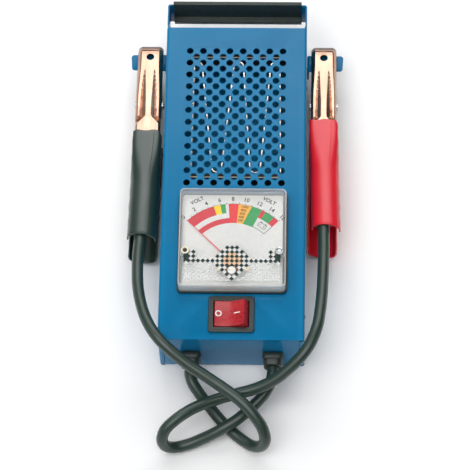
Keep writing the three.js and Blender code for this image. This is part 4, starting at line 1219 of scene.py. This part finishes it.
def jaw(name, body, side, up, half, root):
    """One half of a clamp: a folded channel of sheet metal with grooves, teeth and a hole near its tip."""
    centre = side * CLAMP_X
    stations = [(CLAMP_TIP, mix(1.15, 2.2, i / 2), 1.15) for i in range(3)]
    y = CLAMP_TIP - 0.3
    while y > TANG_END:
        stations.append((y, along(WEB_LINE, y), along(EDGE_LINE, y) + jaw_teeth(y)))
        y -= 0.7 if y > 44 else 8
    fractions = [-1 + 2 * i / 56 for i in range(57)]
    rings = []
    for y, web, edge in stations:
        wide = jaw_half(y, half, root)
        crest = [(f * wide, web - min(web_drop(f * wide, y, half), max(web - edge, 0))) for f in fractions]
        cheek = [mix(edge, crest[0][1], t) for t in (0, 0.5)]
        line = [(-wide, cheek[0]), (-wide, cheek[1]), *crest, (wide, cheek[1]), (wide, cheek[0])]
        rings.append([(centre + a, y, MID + up * h) for a, h in line])
    shape = Shape().rings(rings, False, False, False).tidy().facing_out(up)
    shape.thickened(JAW_SHEET)
    tip_hole = Matrix.Translation((centre, TIP_HOLE_Y, MID + up * 9))
    hole = Shape().lathe([(TIP_HOLE, -5), (TIP_HOLE, 5)], tip_hole, 28)
    pin_place = facing((centre, CLAMP_PIVOT_Y, MID), (1, 0, 0))
    pin = Shape().lathe([(PIN_HOLE, -20), (PIN_HOLE, 20)], pin_place, 24)
    shape.minus(hole).minus(pin)
    # faces past the tip's fold get the dark copper: painted shade on the bent-down tip
    for face in shape.mesh.faces:
        face.material_index = 1 if face.calc_center_median().y > TIP_FOLD_Y else 0
    paints = [COPPER, SHADED_COPPER]
    add_piece(f"{name}_pressing", shape, paints, body, [name], sharp=42)


SLEEVE_LEAN = {
    "black_clamp_front_sleeve": -1.8,
    "black_clamp_rear_sleeve": -1.8,
    "red_clamp_front_sleeve": 2.2,
    "red_clamp_rear_sleeve": -0.4,
}  # how far a sleeve's lower end stands to the side
SLEEVE_HALF, SLEEVE_WALL, SLEEVE_SIDE = 10.9, 1.2, 12
SLEEVE_RISE, SLEEVE_CROWN, SLEEVE_CROWN_Y = 0.034, 17.9, 54.5


def sleeve_line(share):
    """The outer line of a sleeve's section: flat topped at the jaw's end, rounder further down."""
    round_part = smooth(share, 0.05, 0.5)
    power = mix(3.6, 2.0, round_part)
    arch = mix(4.2, 9.4, round_part)
    points = []
    steps = 44
    for i in range(steps + 1):
        t = math.pi * (1 - i / steps)
        c, s = math.cos(t), math.sin(t)
        x = SLEEVE_HALF * math.copysign(abs(c) ** (2 / power), c)
        points.append((x, arch * abs(s) ** (2 / power) - arch))
    side = [(-SLEEVE_HALF, h) for h in (-SLEEVE_SIDE, -(SLEEVE_SIDE + arch) / 2)]
    return [*side, *points, *[(-x, h) for x, h in reversed(side)]]


def sleeve(name, body, side, up, ends, material):
    """A soft arched sleeve over a handle, open at both ends and along its inner side."""
    start, end, lean = ends
    centre = side * CLAMP_X
    rings = []
    count = 36
    for i in range(count + 1):
        share = i / count
        ring = []
        for x, h in sleeve_line(share):
            wave = 0.45 * math.sin(x * 0.55 + side) * smooth(share, 0.05, 0)
            cut = 2.2 * smooth(x, 8.8, 10.9) * smooth(share, 0.08, 0)
            flap = 1.3 * smooth(x, -3, 10.9) * smooth(share, 0.9, 1)
            y = mix(start, end + 1.3, share) + wave - cut - flap
            pinch = 0.2 * math.sin(share * 21 + x * 0.2) * smooth(abs(x), 8, 10.9)
            crown = SLEEVE_CROWN + (SLEEVE_CROWN_Y - y) * SLEEVE_RISE
            across = x - abs(pinch) * math.copysign(1, x) + lean * share
            ring.append((centre + across, y, MID + up * (crown + h)))
        rings.append(ring)
    shape = Shape().rings(rings, False, False, False).tidy().facing_out(up)
    shape.thickened(SLEEVE_WALL).tidy()
    bevel = {"width": 0.35, "segments": 3, "limit_method": "ANGLE", "angle_limit": math.radians(60)}
    shape.modified("BEVEL", bevel)
    seam = [ring[28 if up > 0 else 24] for ring in rings[1:16]]
    shape.tube([Vector(p) - Vector((0, 0, up * 0.12)) for p in seam], 0.3, 8)
    add_piece(f"{name}_moulding", shape, material, body, [name], sharp=60)


def pivot_pin(name, side):
    left, right = size_of(name)[0]
    centre = (side * CLAMP_X, CLAMP_PIVOT_Y, MID)
    half = (right - left) / 2
    place = facing(centre, (1, 0, 0))
    head = 9.8
    profile = [
        (0, -half), (1.8, -half), (2.7, -half + 0.25), (3.2, -half + 0.7), (3.2, -head), (2, -head),
        (2, head), (3.2, head), (3.2, half - 0.7), (2.7, half - 0.25), (1.8, half), (0, half),
    ]
    add_piece(f"{name}_rivet", Shape().lathe(profile, place, 32), STEEL, replaces=[name])


def clamp_spring(clamp, side):
    """The coil and front leg stay with the front half; the rear leg moves with the rear half."""
    radius, wire, turns, half = 4.3, 0.8, 3, 3.9
    centre = Vector((side * CLAMP_X, CLAMP_PIVOT_Y, MID))
    sweep = turns * 360 + 140
    steps = 150
    coil = []
    for i in range(steps + 1):
        angle = math.radians(110 - sweep * i / steps)
        place = (-half + 2 * half * i / steps, radius * math.cos(angle), radius * math.sin(angle))
        coil.append(centre + Vector(place))
    front = [centre + Vector((-half, -14, 12.2)), centre + Vector((-half, -8, 9.4))]
    rear = [centre + Vector((half, -8, -9.4)), centre + Vector((half, -14, -12.2))]
    shape = Shape().tube([*front, *coil], wire, 10)
    add_piece(f"{clamp}_spring_coil", shape, STEEL, replaces=[f"{clamp}_spring"])
    leg = Shape().tube([coil[-1], *rear], wire, 10)
    add_piece(f"{clamp}_spring_leg", leg, STEEL, f"{clamp}_rear")


def clamps():
    for clamp, side, material in (("black_clamp", -1, BLACK_VINYL), ("red_clamp", 1, RED_VINYL)):
        rear_body = f"{clamp}_rear"
        root = size_of(f"{clamp}_front_sleeve")[1][1]
        jaw(f"{clamp}_front_jaw", "case", side, 1, FRONT_JAW_HALF, root)
        jaw(f"{clamp}_rear_jaw", rear_body, side, -1, REAR_JAW_HALF, root)
        for half, body, up in (("front", "case", 1), ("rear", rear_body, -1)):
            node = f"{clamp}_{half}_sleeve"
            low, high = size_of(node)[1]
            ends = (high - 0.5, low + 0.5, SLEEVE_LEAN[node])
            sleeve(node, body, side, up, ends, material)
        pivot_pin(f"{clamp}_pivot_pin", side)
        clamp_spring(clamp, side)


# ---------------------------------------------------------------- pieces carried over from the model
CARRIED = {
    BRASS: ["core_bracket", "bearing_bridge", "contact_lever"]
    + [f"{n}_{k}" for n, _ in SIDES for k in ("meter_terminal", "meter_nut", "switch_terminal")],
    DARK_STEEL: ["magnet_ring", "iron_core"],
    WINDING: ["moving_coil"],
    RIBBON: ["resistor_ribbon"],
    SHEATH: ["black_lead_tail", "red_lead_tail"],
    WIRE: [n for n in NODES if n.endswith("_wire")],
}


def insulator_rails():
    for name in ("upper_insulator_rail", "lower_insulator_rail"):
        x, y, z = size_of(name)
        middle = sum(y) / 2
        low = 26
        shape = Shape().extrude(rectangle(*x, middle - 1.5, middle + 1.5), low, z[1] - 0.5, 0.1)
        for _, side in SIDES:
            foot = [(0, z[0]), (3, z[0]), (3, low + 0.05), (0, low + 0.05)]
            shape.lathe(foot, Matrix.Translation((side * 40, middle, 0)), 24)
        shape.paint = 1
        shape.extrude(rectangle(*x, middle - 1.5, middle - 0.7), z[1] - 0.55, z[1], 0.05)
        add_piece(f"{name}_board", shape, [BOARD, BOARD_EDGE], replaces=[name])


def finish_carried():
    for material, names in CARRIED.items():
        for name in names:
            data = NODES[name].data
            data.materials.clear()
            data.materials.append(material)


# ---------------------------------------------------------------- stage and light
def make_floor():
    mesh = bpy.data.meshes.new("floor")
    half = 6
    corners = [(-half, -half, 0), (half, -half, 0), (half, half, 0), (-half, half, 0)]
    mesh.from_pydata(corners, [], [(0, 1, 2, 3)])
    f = Finish("pale_floor", (0.93, 0.935, 0.94), 0.55)
    mesh.materials.append(f.mottle(0.01, 3).material)
    floor = bpy.data.objects.new("floor", mesh)
    floor.location.z = -0.0004
    SCENE.collection.objects.link(floor)


def area_light(name, place, aim, size, power):
    light = bpy.data.lights.new(name, "AREA")
    light.shape = "RECTANGLE"
    light.size, light.size_y = size
    light.energy = power
    lamp = bpy.data.objects.new(name, light)
    lamp.location = place
    lamp.rotation_euler = (Vector(aim) - Vector(place)).to_track_quat("-Z", "Y").to_euler()
    SCENE.collection.objects.link(lamp)


# the sky's level against the X and the Y of a direction
SKY_ACROSS = [(-1, 0.12), (-0.62, 0.25), (-0.38, 1.0), (0.18, 1.0), (0.38, 0.05), (1, 0.03)]
SKY_ALONG = [
    (-1, 0.2), (-0.6, 0.3), (-0.42, 1.5), (0.06, 1.5), (0.2, 0.1), (0.4, 0.06), (0.432, 0.35),
    (0.455, 1.15), (0.48, 1.35), (0.53, 0.62), (0.8, 0.42), (0.9, 0.12), (1, 0.08),
]
SKY_STRENGTH = 2.3


def sky_ramp(tree, value, levels):
    """The level of the sky along one axis of the direction."""
    share = tree.nodes.new("ShaderNodeMapRange")
    share.inputs["From Min"].default_value = -1
    ramp = tree.nodes.new("ShaderNodeValToRGB")
    stops = ramp.color_ramp.elements
    while len(stops) < len(levels):
        stops.new(1)
    for stop, (place, level) in zip(stops, levels):
        stop.position = (place + 1) / 2
        stop.color = (level, level, level, 1)
    tree.links.new(value, share.inputs["Value"])
    tree.links.new(share.outputs["Result"], ramp.inputs["Fac"])
    return ramp.outputs["Color"]


def make_light():
    """A bright band of sky along the case, dark at both sides and at the far horizon, and a soft key."""
    world = bpy.data.worlds.new("studio")
    world.use_nodes = True
    tree = world.node_tree
    direction = tree.nodes.new("ShaderNodeTexCoord")
    parts = tree.nodes.new("ShaderNodeSeparateXYZ")
    strength = tree.nodes.new("ShaderNodeMath")
    strength.operation = "MULTIPLY"
    strength.inputs[1].default_value = SKY_STRENGTH
    background = tree.nodes["Background"]
    tree.links.new(direction.outputs["Generated"], parts.inputs["Vector"])
    tree.links.new(sky_ramp(tree, parts.outputs["X"], SKY_ACROSS), background.inputs["Color"])
    tree.links.new(sky_ramp(tree, parts.outputs["Y"], SKY_ALONG), strength.inputs[0])
    tree.links.new(strength.outputs["Value"], background.inputs["Strength"])
    SCENE.world = world
    area_light("overhead", (0.3, 1.6, 1.75), (0, 0, 0), (2.4, 1.5), 22)
    SCENE.view_settings.view_transform = "Standard"


# ---------------------------------------------------------------- the object
front_cover()
rear_shell()
handle_strap()
handle_grip()
side_fasteners()
clamp_tabs()
meter_housing()
meter_cover()
dial_plate()
needle()
hairspring()
zero_adjuster()
cover_screws()
switch_body()
rocker()
glands()
clamps()
insulator_rails()
finish_carried()
make_floor()
make_light()
